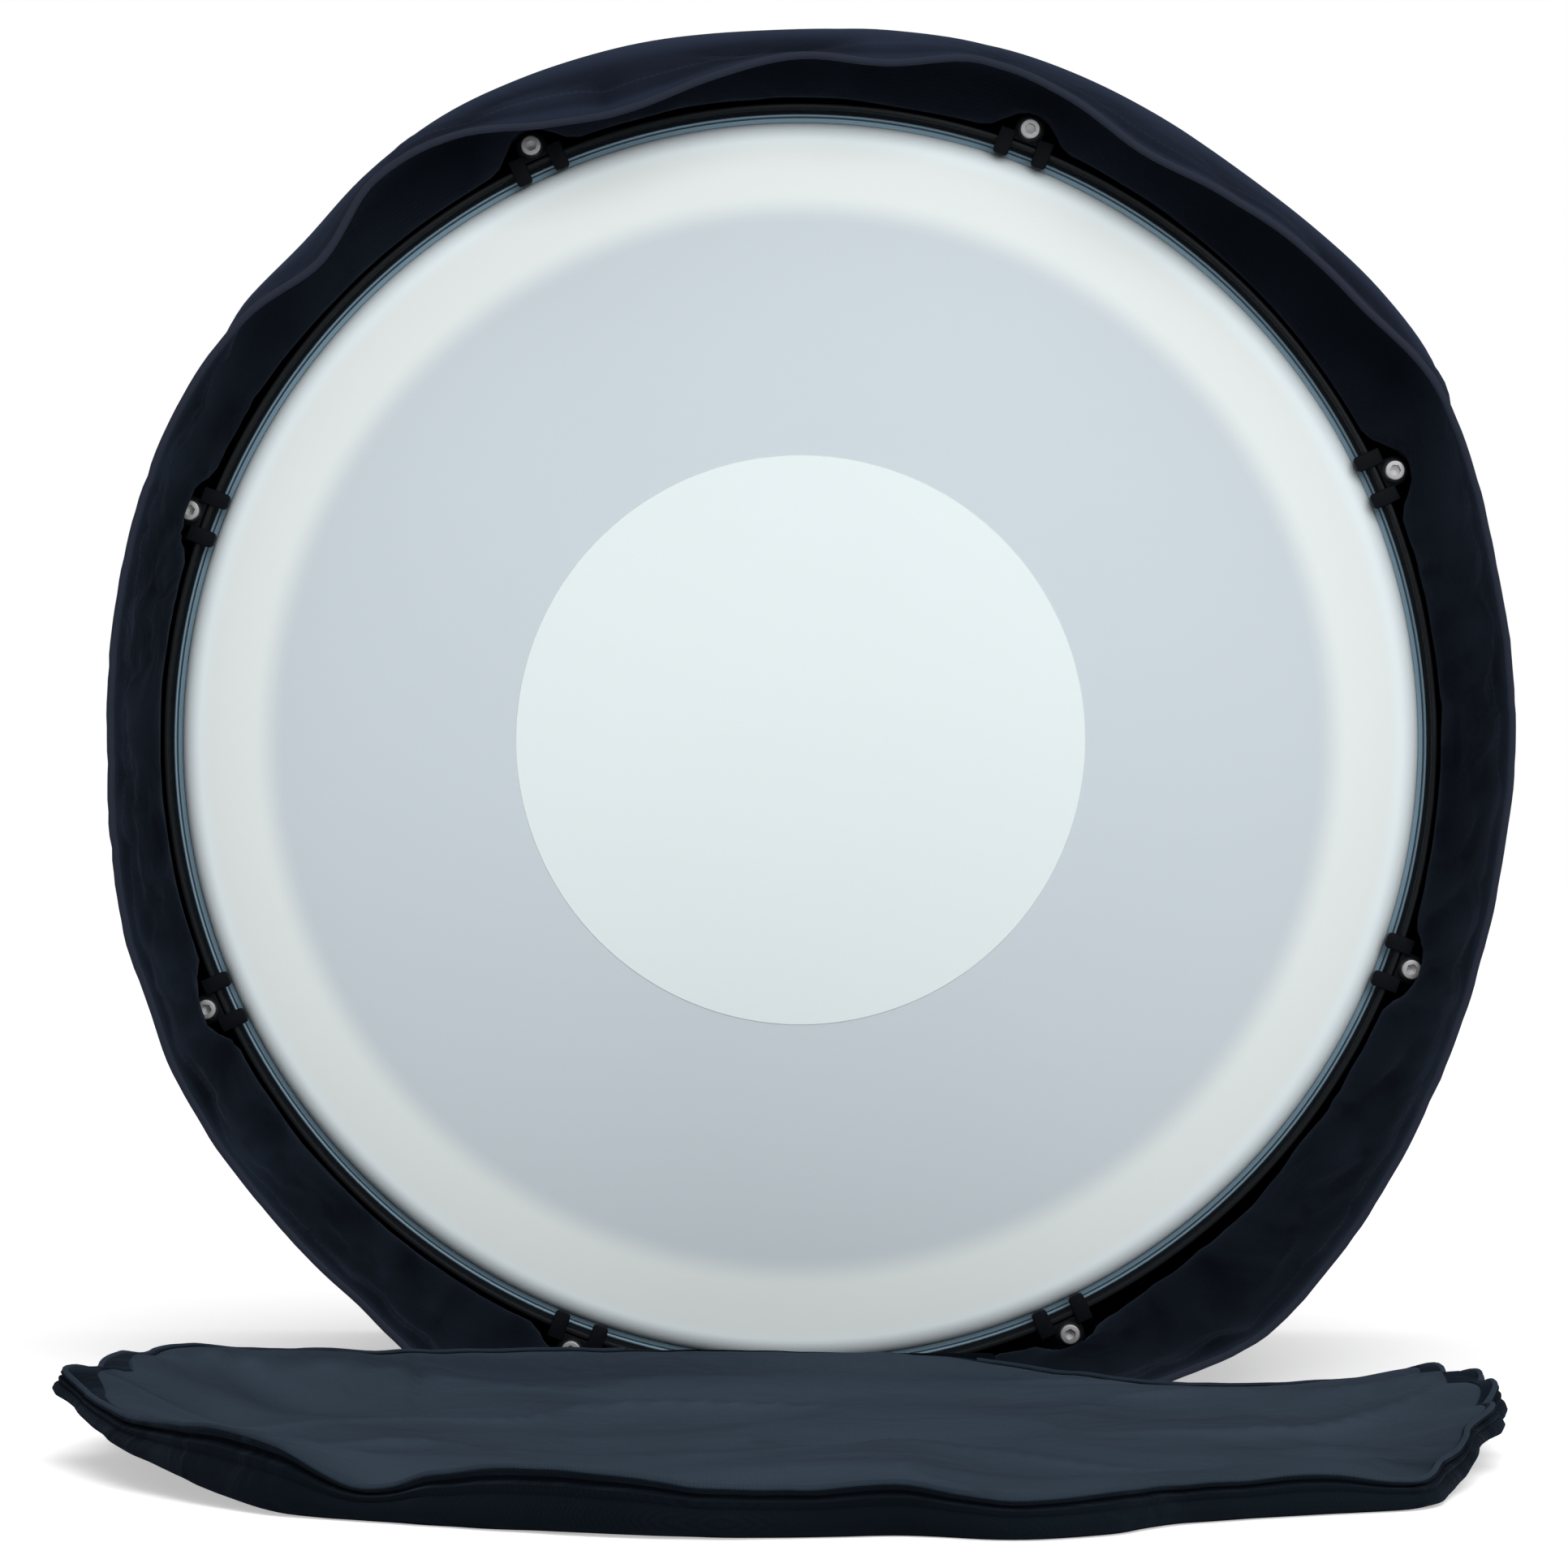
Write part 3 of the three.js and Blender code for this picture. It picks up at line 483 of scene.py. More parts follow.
def mesh_piece(name, vertices, faces):
    """A piece from a list of points and faces, with its normals facing out."""
    mesh = bpy.data.meshes.new(name)
    mesh.from_pydata(vertices, [], faces)
    piece = bpy.data.objects.new(name, mesh)
    bpy.context.collection.objects.link(piece)
    pick(piece)
    bpy.ops.object.mode_set(mode="EDIT")
    bpy.ops.mesh.select_all(action="SELECT")
    bpy.ops.mesh.normals_make_consistent(inside=False)
    bpy.ops.object.mode_set(mode="OBJECT")
    return piece


def grid_faces(rows, columns, joins_up=True):
    """Quads of a grid of points whose rows each run once round."""
    faces = []
    for row in range(rows - 1):
        for column in range(columns if joins_up else columns - 1):
            a = row * columns + column
            b = row * columns + (column + 1) % columns
            faces.append((a, b, b + columns, a + columns))
    return faces


def face_outwards(piece, outward):
    """Turns the piece's faces over if they face away from the outward direction."""
    polygons = piece.data.polygons
    total = sum(polygon.area * polygon.normal.dot(outward(polygon.center)) for polygon in polygons)
    if total < 0:
        piece.data.flip_normals()


def tube_along(name, path, radius, joins_up, sides=12):
    """A round tube along a path of points, as a mesh."""
    curve = bpy.data.curves.new(name, "CURVE")
    curve.dimensions = "3D"
    curve.bevel_depth = radius
    curve.bevel_resolution = sides // 4
    curve.use_fill_caps = not joins_up
    spline = curve.splines.new("POLY")
    spline.points.add(len(path) - 1)
    for point, place in zip(spline.points, path):
        point.co = (*place, 1)
    spline.use_cyclic_u = joins_up
    piece = bpy.data.objects.new(name, curve)
    bpy.context.collection.objects.link(piece)
    pick(piece)
    bpy.ops.object.convert(target="MESH")
    piece = bpy.context.object
    bpy.ops.object.mode_set(mode="EDIT")
    bpy.ops.mesh.select_all(action="SELECT")
    bpy.ops.mesh.remove_doubles(threshold=WELD)
    bpy.ops.mesh.normals_make_consistent(inside=False)
    bpy.ops.object.mode_set(mode="OBJECT")
    smooth(piece, 60)
    return piece


def around_table(table, angle):
    """Value of a table that runs once round the circle, smoothly between its entries."""
    turns = (angle / TURN) % 1 * len(table)
    entry = int(turns)
    t = turns - entry
    a, b, c, d = (table[(entry + k) % len(table)] for k in (-1, 0, 1, 2))
    bend = 2 * a - 5 * b + 4 * c - d + t * (3 * b - a - 3 * c + d)
    return b + t / 2 * (c - a + t * bend)


def through(stations, place):
    """Value at a place on a smooth line through (place, value) stations in order, with no overshoot."""
    place = min(max(place, stations[0][0]), stations[-1][0])
    slopes = [(b[1] - a[1]) / (b[0] - a[0]) for a, b in zip(stations, stations[1:])]

    def tilt(k):
        if k == len(slopes):
            return slopes[-1]
        if k == 0 or slopes[k - 1] * slopes[k] <= 0:
            return 0
        return 2 / (1 / slopes[k - 1] + 1 / slopes[k])

    k = next(k for k in range(1, len(stations)) if stations[k][0] >= place)
    (low, start), (high, stop) = stations[k - 1], stations[k]
    t, rise = (place - low) / (high - low), stop - start
    into, out = tilt(k - 1) * (high - low), tilt(k) * (high - low)
    return start + t * (into + t * (3 * rise - 2 * into - out + t * (into + out - 2 * rise)))


def ease(value, low, high):
    """0 below low, 1 above high, and smooth between them."""
    t = min(max((value - low) / (high - low), 0), 1)
    return t * t * (3 - 2 * t)


def mixed(low, high, share):
    return low + (high - low) * share


def fold_height(folds, u, v):
    """Height of soft ridges and grooves at a place; each fold runs from one place to another."""
    height = 0
    for u0, v0, u1, v1, rise, width in folds:
        along = ((u - u0) * (u1 - u0) + (v - v0) * (v1 - v0)) / ((u1 - u0) ** 2 + (v1 - v0) ** 2)
        t = min(max(along, 0), 1)
        away = math.hypot(u - mixed(u0, u1, t), v - mixed(v0, v1, t)) / width
        height += rise * math.exp(-away * away) * math.sin(math.pi * mixed(0.12, 0.88, t))
    return height


def dress(piece, *finishes):
    """Gives a piece its finishes, in the order of its material slots."""
    if piece.data.materials:
        piece.data.materials.clear()
    for finish in finishes:
        piece.data.materials.append(FINISHES[finish])


def belongs(piece, slot, body, *nodes):
    """Gives a piece its body, and hides the nodes that it stands for; its slot is not used."""
    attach(piece, body)
    if nodes:
        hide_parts(*nodes)


# Material helpers

FINISHES = {}


def new_material(name):
    """A material with only its output and a Principled BSDF, and that shader."""
    material = bpy.data.materials.new(name)
    material.use_nodes = True
    return material, material.node_tree.nodes["Principled BSDF"]


def add_node(tree, kind, **settings):
    node = tree.nodes.new(kind)
    for key, value in settings.items():
        setattr(node, key, value)
    return node


def feed(tree, socket, value):
    """Puts a number, a colour or another socket's value into a socket."""
    if isinstance(value, bpy.types.NodeSocket):
        tree.links.new(value, socket)
    else:
        socket.default_value = value


def math_node(tree, operation, *values):
    """A math node whose inputs are numbers or sockets."""
    node = add_node(tree, "ShaderNodeMath", operation=operation)
    for socket, value in zip(node.inputs, values):
        feed(tree, socket, value)
    return node.outputs[0]


def band_mask(tree, value, low, high):
    """0 where a value is below low, 1 above high, and smooth between them."""
    band = add_node(tree, "ShaderNodeMapRange", interpolation_type="SMOOTHSTEP")
    feed(tree, band.inputs["Value"], value)
    feed(tree, band.inputs["From Min"], low)
    feed(tree, band.inputs["From Max"], high)
    return band.outputs["Result"]


def mix_colours(tree, mask, low, high, blend="MIX"):
    """A colour that goes from low to high with the mask; each is a colour or a socket."""
    mix = add_node(tree, "ShaderNodeMix", data_type="RGBA", blend_type=blend)
    feed(tree, mix.inputs["Factor"], mask)
    feed(tree, mix.inputs[6], low)
    feed(tree, mix.inputs[7], high)
    return mix.outputs[2]


def new_group(name, inputs, outputs):
    """A node group with named float inputs (name to default) and outputs (name to socket type)."""
    tree = bpy.data.node_groups.new(name, "ShaderNodeTree")
    for key, value in inputs.items():
        socket = tree.interface.new_socket(key, in_out="INPUT", socket_type="NodeSocketFloat")
        socket.default_value = value
    for key in outputs:
        tree.interface.new_socket(key, in_out="OUTPUT", socket_type="NodeSocketFloat")
    return tree, add_node(tree, "NodeGroupInput"), add_node(tree, "NodeGroupOutput")


def grain_group():
    """Fine uneven grain: a mask of soft patches for colour, and a height for bump."""
    tree, given, out = new_group("fine_grain", {"Scale": 400, "Patches": 9}, ("Mask", "Height"))
    place = add_node(tree, "ShaderNodeTexCoord")
    for source, result in (("Scale", "Height"), ("Patches", "Mask")):
        cells = add_node(tree, "ShaderNodeTexNoise")
        tree.links.new(place.outputs["Object"], cells.inputs["Vector"])
        tree.links.new(given.outputs[source], cells.inputs["Scale"])
        tree.links.new(cells.outputs["Fac"], out.inputs[result])
    return tree


def radial_group():
    """How far a place is outside a radius about the drum's axis, from 0 to 1 over a width."""
    tree, given, out = new_group("outside_radius", {"Radius": 0.2, "Width": 0.01}, ("Mask",))
    place = add_node(tree, "ShaderNodeTexCoord")
    apart = add_node(tree, "ShaderNodeSeparateXYZ")
    tree.links.new(place.outputs["Object"], apart.inputs[0])
    height = math_node(tree, "SUBTRACT", apart.outputs["Z"], AXIS_Z)
    squares = [math_node(tree, "MULTIPLY", side, side) for side in (apart.outputs["X"], height)]
    radius = math_node(tree, "SQRT", math_node(tree, "ADD", *squares))
    end = math_node(tree, "ADD", given.outputs["Radius"], given.outputs["Width"])
    tree.links.new(band_mask(tree, radius, given.outputs["Radius"], end), out.inputs["Mask"])
    return tree


def weave_group():
    """Plain weave: height of its crossing threads, a mask of faded patches, and height of soft crumples."""
    tree, given, out = new_group(
        "plain_weave", {"Pitch": 0.001, "Patches": 7}, ("Mask", "Threads", "Crumple")
    )
    place = add_node(tree, "ShaderNodeTexCoord")
    apart = add_node(tree, "ShaderNodeSeparateXYZ")
    tree.links.new(place.outputs["UV"], apart.inputs[0])
    waves = []
    for axis in (0, 1):
        turn = math_node(tree, "DIVIDE", apart.outputs[axis], given.outputs["Pitch"])
        wave = math_node(tree, "SINE", math_node(tree, "MULTIPLY", turn, math.pi))
        waves.append(math_node(tree, "ABSOLUTE", wave))
    tree.links.new(math_node(tree, "MULTIPLY", *waves), out.inputs["Threads"])
    patches = add_node(tree, "ShaderNodeTexNoise")
    patches.inputs["Detail"].default_value = 4
    tree.links.new(place.outputs["Object"], patches.inputs["Vector"])
    tree.links.new(given.outputs["Patches"], patches.inputs["Scale"])
    tree.links.new(patches.outputs["Fac"], out.inputs["Mask"])
    crumple = add_node(tree, "ShaderNodeTexNoise")
    for key, value in {"Scale": 20, "Detail": 3, "Roughness": 0.5, "Distortion": 1.1}.items():
        crumple.inputs[key].default_value = value
    tree.links.new(place.outputs["Object"], crumple.inputs["Vector"])
    tree.links.new(crumple.outputs["Fac"], out.inputs["Crumple"])
    return tree


def stitch_group():
    """One row of stitches at a height on the cloth's map: a mask for the thread and one for its groove."""
    tree, given, out = new_group(
        "stitch_row", {"Row": 0, "Stitch": 0.0036, "Thread": 0.0009}, ("Thread", "Groove")
    )
    place = add_node(tree, "ShaderNodeTexCoord")
    apart = add_node(tree, "ShaderNodeSeparateXYZ")
    tree.links.new(place.outputs["UV"], apart.inputs[0])
    above = math_node(tree, "SUBTRACT", apart.outputs["Y"], given.outputs["Row"])
    away = math_node(tree, "ABSOLUTE", above)
    half = math_node(tree, "DIVIDE", given.outputs["Thread"], 2)
    near = math_node(tree, "LESS_THAN", away, half)
    along = math_node(tree, "FRACT", math_node(tree, "DIVIDE", apart.outputs["X"], given.outputs["Stitch"]))
    laid = math_node(tree, "LESS_THAN", along, 0.72)
    tree.links.new(math_node(tree, "MULTIPLY", near, laid), out.inputs["Thread"])
    wide = math_node(tree, "MULTIPLY", given.outputs["Thread"], 3)
    tree.links.new(band_mask(tree, away, 0.0, wide), out.inputs["Groove"])
    return tree


def place_group(tree, group, **values):
    """A node group placed in a material with its own values."""
    node = add_node(tree, "ShaderNodeGroup")
    node.node_tree = group
    for key, value in values.items():
        node.inputs[key].default_value = value
    return node


def bump_from(tree, height, strength, distance, shader):
    """Puts a bump on whatever bump or shader comes next, and gives the bump back."""
    bump = add_node(tree, "ShaderNodeBump")
    bump.inputs["Strength"].default_value = strength
    bump.inputs["Distance"].default_value = distance
    tree.links.new(height, bump.inputs["Height"])
    tree.links.new(bump.outputs["Normal"], shader.inputs["Normal"])
    return bump


def scaled(value, share):
    """A colour made lighter or darker by a share, its alpha kept."""
    return (value[0] * share, value[1] * share, value[2] * share, 1)


def uneven(tree, mask, base, contrast):
    """A colour that goes a little darker and lighter with a mask."""
    return mix_colours(tree, mask, scaled(base, 1 - contrast), scaled(base, 1 + contrast))


def grained_finish(name, base, group, roughness, metallic=0.0, scale=400, bump=0.1, specular=0.5):
    """A hard finish with fine grain and slightly uneven colour and roughness."""
    material, shader = new_material(name + "_finish")
    tree = material.node_tree
    grain = place_group(tree, group, Scale=scale)
    tree.links.new(uneven(tree, grain.outputs["Mask"], base, 0.12), shader.inputs["Base Color"])
    spread = math_node(tree, "MULTIPLY_ADD", grain.outputs["Mask"], roughness * 0.4, roughness * 0.8)
    tree.links.new(spread, shader.inputs["Roughness"])
    shader.inputs["Metallic"].default_value = metallic
    shader.inputs["Specular IOR Level"].default_value = specular
    bump_from(tree, grain.outputs["Height"], bump, 0.0003, shader)
    FINISHES[name] = material


def film_finish(name, grain_nodes, radial_nodes, middle, *bands):
    """Plastic film; a band is a colour that it takes on, the radius where that starts and its width."""
    material, shader = new_material(name + "_finish")
    tree = material.node_tree
    grain = place_group(tree, grain_nodes, Scale=900, Patches=6)
    tint = uneven(tree, grain.outputs["Mask"], middle, 0.02)
    for band_colour, radius, width in bands:
        band = place_group(tree, radial_nodes, Radius=radius, Width=width)
        tint = mix_colours(
            tree, band.outputs["Mask"], tint, uneven(tree, grain.outputs["Mask"], band_colour, 0.02)
        )
    tree.links.new(tint, shader.inputs["Base Color"])
    spread = math_node(tree, "MULTIPLY_ADD", grain.outputs["Height"], 0.08, 0.42)
    tree.links.new(spread, shader.inputs["Roughness"])
    shader.inputs["Specular IOR Level"].default_value = 0.3
    bump_from(tree, grain.outputs["Height"], 0.04, 0.0002, shader)
    FINISHES[name] = material


def shell_finish(name, grain_nodes, radial_nodes, wood, lacquer, radius):
    """Wooden shell: bare ply inside and lacquer outside."""
    material, shader = new_material(name + "_finish")
    tree = material.node_tree
    side = place_group(tree, radial_nodes, Radius=radius, Width=0.0004).outputs["Mask"]
    grain = place_group(tree, grain_nodes, Scale=300, Patches=24)
    tint = mix_colours(tree, side, uneven(tree, grain.outputs["Mask"], wood, 0.3), lacquer)
    tree.links.new(tint, shader.inputs["Base Color"])
    tree.links.new(math_node(tree, "MULTIPLY_ADD", side, -0.45, 0.65), shader.inputs["Roughness"])
    bump_from(tree, grain.outputs["Height"], 0.05, 0.0003, shader)
    FINISHES[name] = material


def cloth_finish(name, base, contrast, share_left_in_deep_shade, weave_nodes, stitch_nodes, thread, row):
    """Woven cloth with faded patches and a row of stitches, with painted light and shade from its folds, and
    painted shade deep inside that leaves a share of its colour.
    """
    material, shader = new_material(name + "_finish")
    tree = material.node_tree
    weave = place_group(tree, weave_nodes)
    stitches = place_group(tree, stitch_nodes, Row=row)
    tint = uneven(tree, band_mask(tree, weave.outputs["Mask"], 0.3, 0.7), base, contrast)
    shade = mix_colours(tree, weave.outputs["Threads"], scaled(base, 0.85), tint)
    shade = mix_colours(tree, stitches.outputs["Thread"], shade, thread)
    # Painted light on the backs of folds and painted shade in them, read from the mesh's attribute
    relief = add_node(tree, "ShaderNodeAttribute", attribute_name="relief").outputs["Fac"]
    depth = math_node(tree, "MAXIMUM", math_node(tree, "MULTIPLY", relief, -1), 0)
    light = math_node(tree, "MAXIMUM", relief, 0)
    shade = mix_colours(tree, light, shade, scaled(base, PAINTED_LIGHT_SHARE))
    shade = mix_colours(tree, depth, shade, (0, 0, 0, 1))
    # Painted shade that darkens the mouth's lining further in from the hem
    apart = add_node(tree, "ShaderNodeSeparateXYZ")
    tree.links.new(add_node(tree, "ShaderNodeTexCoord").outputs["UV"], apart.inputs[0])
    inside = band_mask(tree, apart.outputs["Y"], *(depth - BAG_RIM for depth in DEEP_SHADE_FROM_HEM))
    shade = mix_colours(tree, inside, shade, mix_colours(tree, 1 - share_left_in_deep_shade, shade, (0, 0, 0, 1)))
    tree.links.new(shade, shader.inputs["Base Color"])
    spread = math_node(tree, "MULTIPLY_ADD", weave.outputs["Mask"], 0.15, 0.75)
    tree.links.new(spread, shader.inputs["Roughness"])
    shader.inputs["Sheen Weight"].default_value = 0.04
    shader.inputs["Sheen Roughness"].default_value = 0.5
    shader.inputs["Sheen Tint"].default_value = (0.55, 0.68, 1.0, 1)
    shader.inputs["Specular IOR Level"].default_value = 0.0
    height = math_node(
        tree, "ADD", math_node(tree, "MULTIPLY", weave.outputs["Threads"], 0.3),
        math_node(tree, "MULTIPLY", stitches.outputs["Groove"], 0.5),
    )
    fine = bump_from(tree, height, 0.2, 0.0005, shader)
    bump_from(tree, weave.outputs["Crumple"], 0.55, 0.009, fine)
    FINISHES[name] = material


def make_materials():
    """Makes all the finishes and keeps them by name."""
    sizes, palette = drum_sizes(), colours()
    grain, radial, weave, stitch = grain_group(), radial_group(), weave_group(), stitch_group()
    # The film's collar band is painted lighter, as painted light on its curve
    film_finish(
        "film", grain, radial, palette.clear_film,
        (palette.backed_film, sizes.clear_radius, sizes.clear_fade),
        (palette.collar_film_painted_light, sizes.flat_radius - COLLAR_PAINTED_LIGHT_INSET, COLLAR_PAINTED_LIGHT_WIDTH),
    )
    film_finish("dot", grain, radial, palette.dot)
    shell_finish("shell", grain, radial, palette.ply, palette.lacquer, PLY_RADIUS)
    grained_finish("steel", palette.steel, grain, 0.45, metallic=1.0, scale=600, bump=0.03)
    grained_finish("aluminium", palette.aluminium, grain, 0.55, metallic=1.0, scale=700, bump=0.06)
    grained_finish("coat", palette.coat, grain, 0.4, scale=1500, bump=0.12, specular=0.08)
    grained_finish("casting", palette.coat, grain, 0.5, scale=1100, bump=0.2, specular=0.03)
    grained_finish("foam", palette.foam, grain, 0.9, scale=1200, bump=0.5, specular=0.2)
    grained_finish("binding", palette.binding, grain, 0.8, scale=1500, bump=0.3, specular=0.1)
    row = -BAG_RIM + STITCH_FROM_HEM
    # The lid's outer cloth is the bag's cloth painted darker as shade, and the lid's lining is painted
    # lighter as light from above; the mouth's lining takes painted shade deep inside
    for name, base, contrast, share_left_in_deep_shade in (
        ("cloth", palette.cloth, 0.3, 1.0), ("mouth", palette.mouth, 0.3, 0.45),
        ("lid", palette.lid, 0.3, 1.0), ("lining", palette.lining, 0.32, 1.0),
    ):
        cloth_finish(name, base, contrast, share_left_in_deep_shade, weave, stitch, palette.thread, row)


# Drum pieces

def film_profile():
    """Film from its middle over the collar down into the flesh hoop, then back on its inner side."""
    sizes = drum_sizes()
    plane, flat, bend = FILM_PLANE, sizes.flat_radius, sizes.collar_radius
    middle = (flat, plane - bend)
    thin = sizes.film_thickness
    outer = arc(middle, bend, 90, 0, 10)
    inner = arc(middle, bend - thin, 0, 90, 10)
    start = [(FILM_CENTRE, plane), *((flat * share, plane) for share in FILM_LOOP_SHARES)]
    finish = [(radius, plane - thin) for radius, _ in reversed(start)]
    return [*start, *outer, (flat + bend, FILM_END), (flat + bend - thin, FILM_END), *inner, *finish]


def flesh_hoop_profile():
    """Channel that grips the film's edge: a thin wall inside it, a deep groove and a rounded bright rim."""
    sizes = drum_sizes()
    outer, top, bottom = FLESH_RADIUS, FLESH_TOP, FLESH_BOTTOM
    inner, wall = outer - sizes.flesh_width, sizes.flesh_wall
    film = sizes.flat_radius + sizes.collar_radius + FILM_CLEARANCE
    rim = outer - sizes.flesh_rim
    soft = sizes.flesh_rim / 2
    fill, low_fill = top - GROOVE_FLOOR, top - FILL_UNDERSIDE
    return [
        (inner, bottom), (outer, bottom), (outer, top - soft),
        *arc((outer - soft, top - soft), soft, 22.5, 157.5, 6), (rim, top - soft), (rim, fill), (film, fill),
        (film, low_fill), (inner + wall, low_fill), (inner + wall, top - wall),
        *arc((inner + wall / 2, top - wall), wall / 2, 30, 150, 3), (inner, bottom),
    ]


def counter_hoop_profile():
    """Flat band with a rounded front edge and an inner lip that presses on the flesh hoop."""
    sizes = drum_sizes()
    outer, lip = HOOP_RADIUS, sizes.hoop_lip
    inner = outer - sizes.hoop_wall
    front, back = HOOP_FRONT, HOOP_BACK
    lip_bottom = FLESH_TOP + LIP_GAP
    lip_top = lip_bottom + sizes.hoop_lip_thickness
    soft = HOOP_EDGE
    return [
        (inner, back), (outer - soft, back), (outer, back + soft), (outer, front - soft),
        *arc((outer - soft, front - soft), soft, 20, 90, 4),
        *arc((inner + soft, front - soft), soft, 90, 160, 4),
        (inner, lip_top + soft), (inner - soft, lip_top), (inner - lip + soft, lip_top),
        (inner - lip, lip_top - soft), (inner - lip, lip_bottom), (inner, lip_bottom), (inner, back),
    ]


def build_heads():
    """Both heads' film, and the dot on the front one."""
    sizes = drum_sizes()
    for name, end in (("front_head", -1), ("rear_head", 1)):
        head = turned(name + "_film", film_profile(), sizes.ring_sides, end)
        smooth(head, 40)
        dress(head, "film")
        belongs(head, "head_film", "drum", name)
    base = FILM_PLANE + DOT_GAP
    top = base + sizes.dot_thickness
    soft = sizes.dot_thickness
    profile = [
        (FILM_CENTRE, base), (DOT_RADIUS / 2, base), (DOT_RADIUS, base), (DOT_RADIUS - soft, top),
        (DOT_RADIUS / 2, top), (FILM_CENTRE, top),
    ]
    dot = turned("centre_dot_film", profile, sizes.ring_sides, -1)
    smooth(dot, 30)
    dress(dot, "dot")
    belongs(dot, "dot_film", "drum", "centre_dot")


def build_hoops():
    """Flesh hoop and counter hoop of each end."""
    sides = drum_sizes().ring_sides
    for name, end in (("front", -1), ("rear", 1)):
        flesh = turned(name + "_flesh_hoop_channel", flesh_hoop_profile(), sides, end)
        smooth(flesh, 40)
        dress(flesh, "aluminium")
        belongs(flesh, "flesh_hoop_aluminium", "drum", name + "_flesh_hoop")
        hoop = turned(name + "_counter_hoop_band", counter_hoop_profile(), sides, end)
        smooth(hoop, 40)
        dress(hoop, "coat")
        belongs(hoop, "hoop_black", "drum", name + "_counter_hoop")


def station_matrix(angle, end):
    """Carries a piece made at +X of the rear end, about the origin, to its station on either end."""
    flip = Matrix.Rotation(math.pi, 4, "X") if end < 0 else Matrix.Identity(4)
    return Matrix.Translation((0, 0, AXIS_Z)) @ Matrix.Rotation(-angle, 4, "Y") @ flip


def claw_seat():
    """Height at which the rods' washers rest on the claws."""
    return ROD_TOP - drum_sizes().head_height - drum_sizes().washer


def rod_model():
    """One tension rod about the Y axis at the rod circle: socket head, washer and shank."""
    sizes = drum_sizes()
    tip, top = ROD_TIP, ROD_TOP
    head, shank = sizes.head_radius, sizes.rod_radius
    washer = claw_seat()
    washer_radius, washer_top, soft = head * WASHER_SHARE, washer + sizes.washer, ROD_HEAD_EDGE
    profile = [
        (ROD_CENTRE, tip), (shank * ROD_POINT_SHARE, tip), (shank, tip + ROD_POINT), (shank, washer),
        (washer_radius - WASHER_UNDER_EDGE, washer), (washer_radius, washer + WASHER_UNDER_EDGE),
        (washer_radius, washer_top - WASHER_TOP_EDGE), (washer_radius - WASHER_TOP_EDGE, washer_top),
        (head, washer_top), (head, top - soft), *arc((head - soft, top - soft), soft, 30, 90, 3),
        (ROD_CENTRE, top),
    ]
    rod = turned("tension_rod", profile, 32, 1, (ROD_CIRCLE, 0.0))
    radius = sizes.socket_flats / math.sqrt(3)
    over, floor = top + SOCKET_OVERRUN, top - sizes.socket_depth
    hollow = [(SOCKET_CENTRE, over), (radius, over), (radius, floor), (SOCKET_CENTRE, floor - SOCKET_CONE)]
    socket = turned("rod_socket", hollow, 6, 1, (ROD_CIRCLE, 0.0))
    apply_modifier(rod, "BOOLEAN", operation="DIFFERENCE", object=socket, solver="EXACT")
    bpy.data.objects.remove(socket)
    for polygon in rod.data.polygons:
        away = math.hypot(polygon.center.x - ROD_CIRCLE, polygon.center.z)
        outside = away > head * WASHER_FROM_SHARE
        on_washer = outside and washer - WELD <= polygon.center.y <= washer_top + WELD
        polygon.material_index = 1 if on_washer else 0
    return rod


def round_corners(piece, place, radius, segments):
    """Rounds the upright edges of a casting's part that lie at one place along X."""
    bpy.ops.object.mode_set(mode="EDIT")
    bpy.ops.mesh.select_mode(type="EDGE")
    bpy.ops.mesh.select_all(action="DESELECT")
    bpy.ops.object.mode_set(mode="OBJECT")
    places = [vertex.co for vertex in piece.data.vertices]
    for edge in piece.data.edges:
        start, end = (places[index] for index in edge.vertices)
        at_place = abs(start.x - place) < WELD and abs(end.x - place) < WELD
        edge.select = at_place and abs(start.z - end.z) < WELD
    bpy.ops.object.mode_set(mode="EDIT")
    bpy.ops.mesh.bevel(offset=radius, segments=segments, affect="EDGES")
    bpy.ops.mesh.select_mode(type="VERT")
    bpy.ops.mesh.select_all(action="SELECT")
    bpy.ops.mesh.remove_doubles(threshold=WELD)
    bpy.ops.object.mode_set(mode="OBJECT")


def join_up(piece, part, operation):
    """Joins a part to a casting or cuts it out, and merges the points that fall together."""
    apply_modifier(piece, "BOOLEAN", operation=operation, object=part, solver="EXACT")
    bpy.data.objects.remove(part)
    bpy.ops.object.mode_set(mode="EDIT")
    bpy.ops.mesh.select_mode(type="VERT")
    bpy.ops.mesh.select_all(action="SELECT")
    bpy.ops.mesh.remove_doubles(threshold=CASTING_WELD)
    bpy.ops.mesh.dissolve_limited(angle_limit=math.radians(1))
    bpy.ops.object.mode_set(mode="OBJECT")


def round_outer_edges(piece, width):
    """Rounds a casting's sharp edges that stand out, and leaves its inner corners as they are."""
    pick(piece)
    bpy.ops.object.mode_set(mode="EDIT")
    bpy.ops.mesh.select_mode(type="EDGE")
    mesh = bmesh.from_edit_mesh(piece.data)
    for edge in mesh.edges:
        edge.select_set(edge.is_convex and edge.calc_face_angle(0) > math.radians(50))
    bmesh.update_edit_mesh(piece.data)
    bpy.ops.mesh.bevel(offset=width, segments=3, affect="EDGES")
    bpy.ops.mesh.select_mode(type="VERT")
    bpy.ops.object.mode_set(mode="OBJECT")


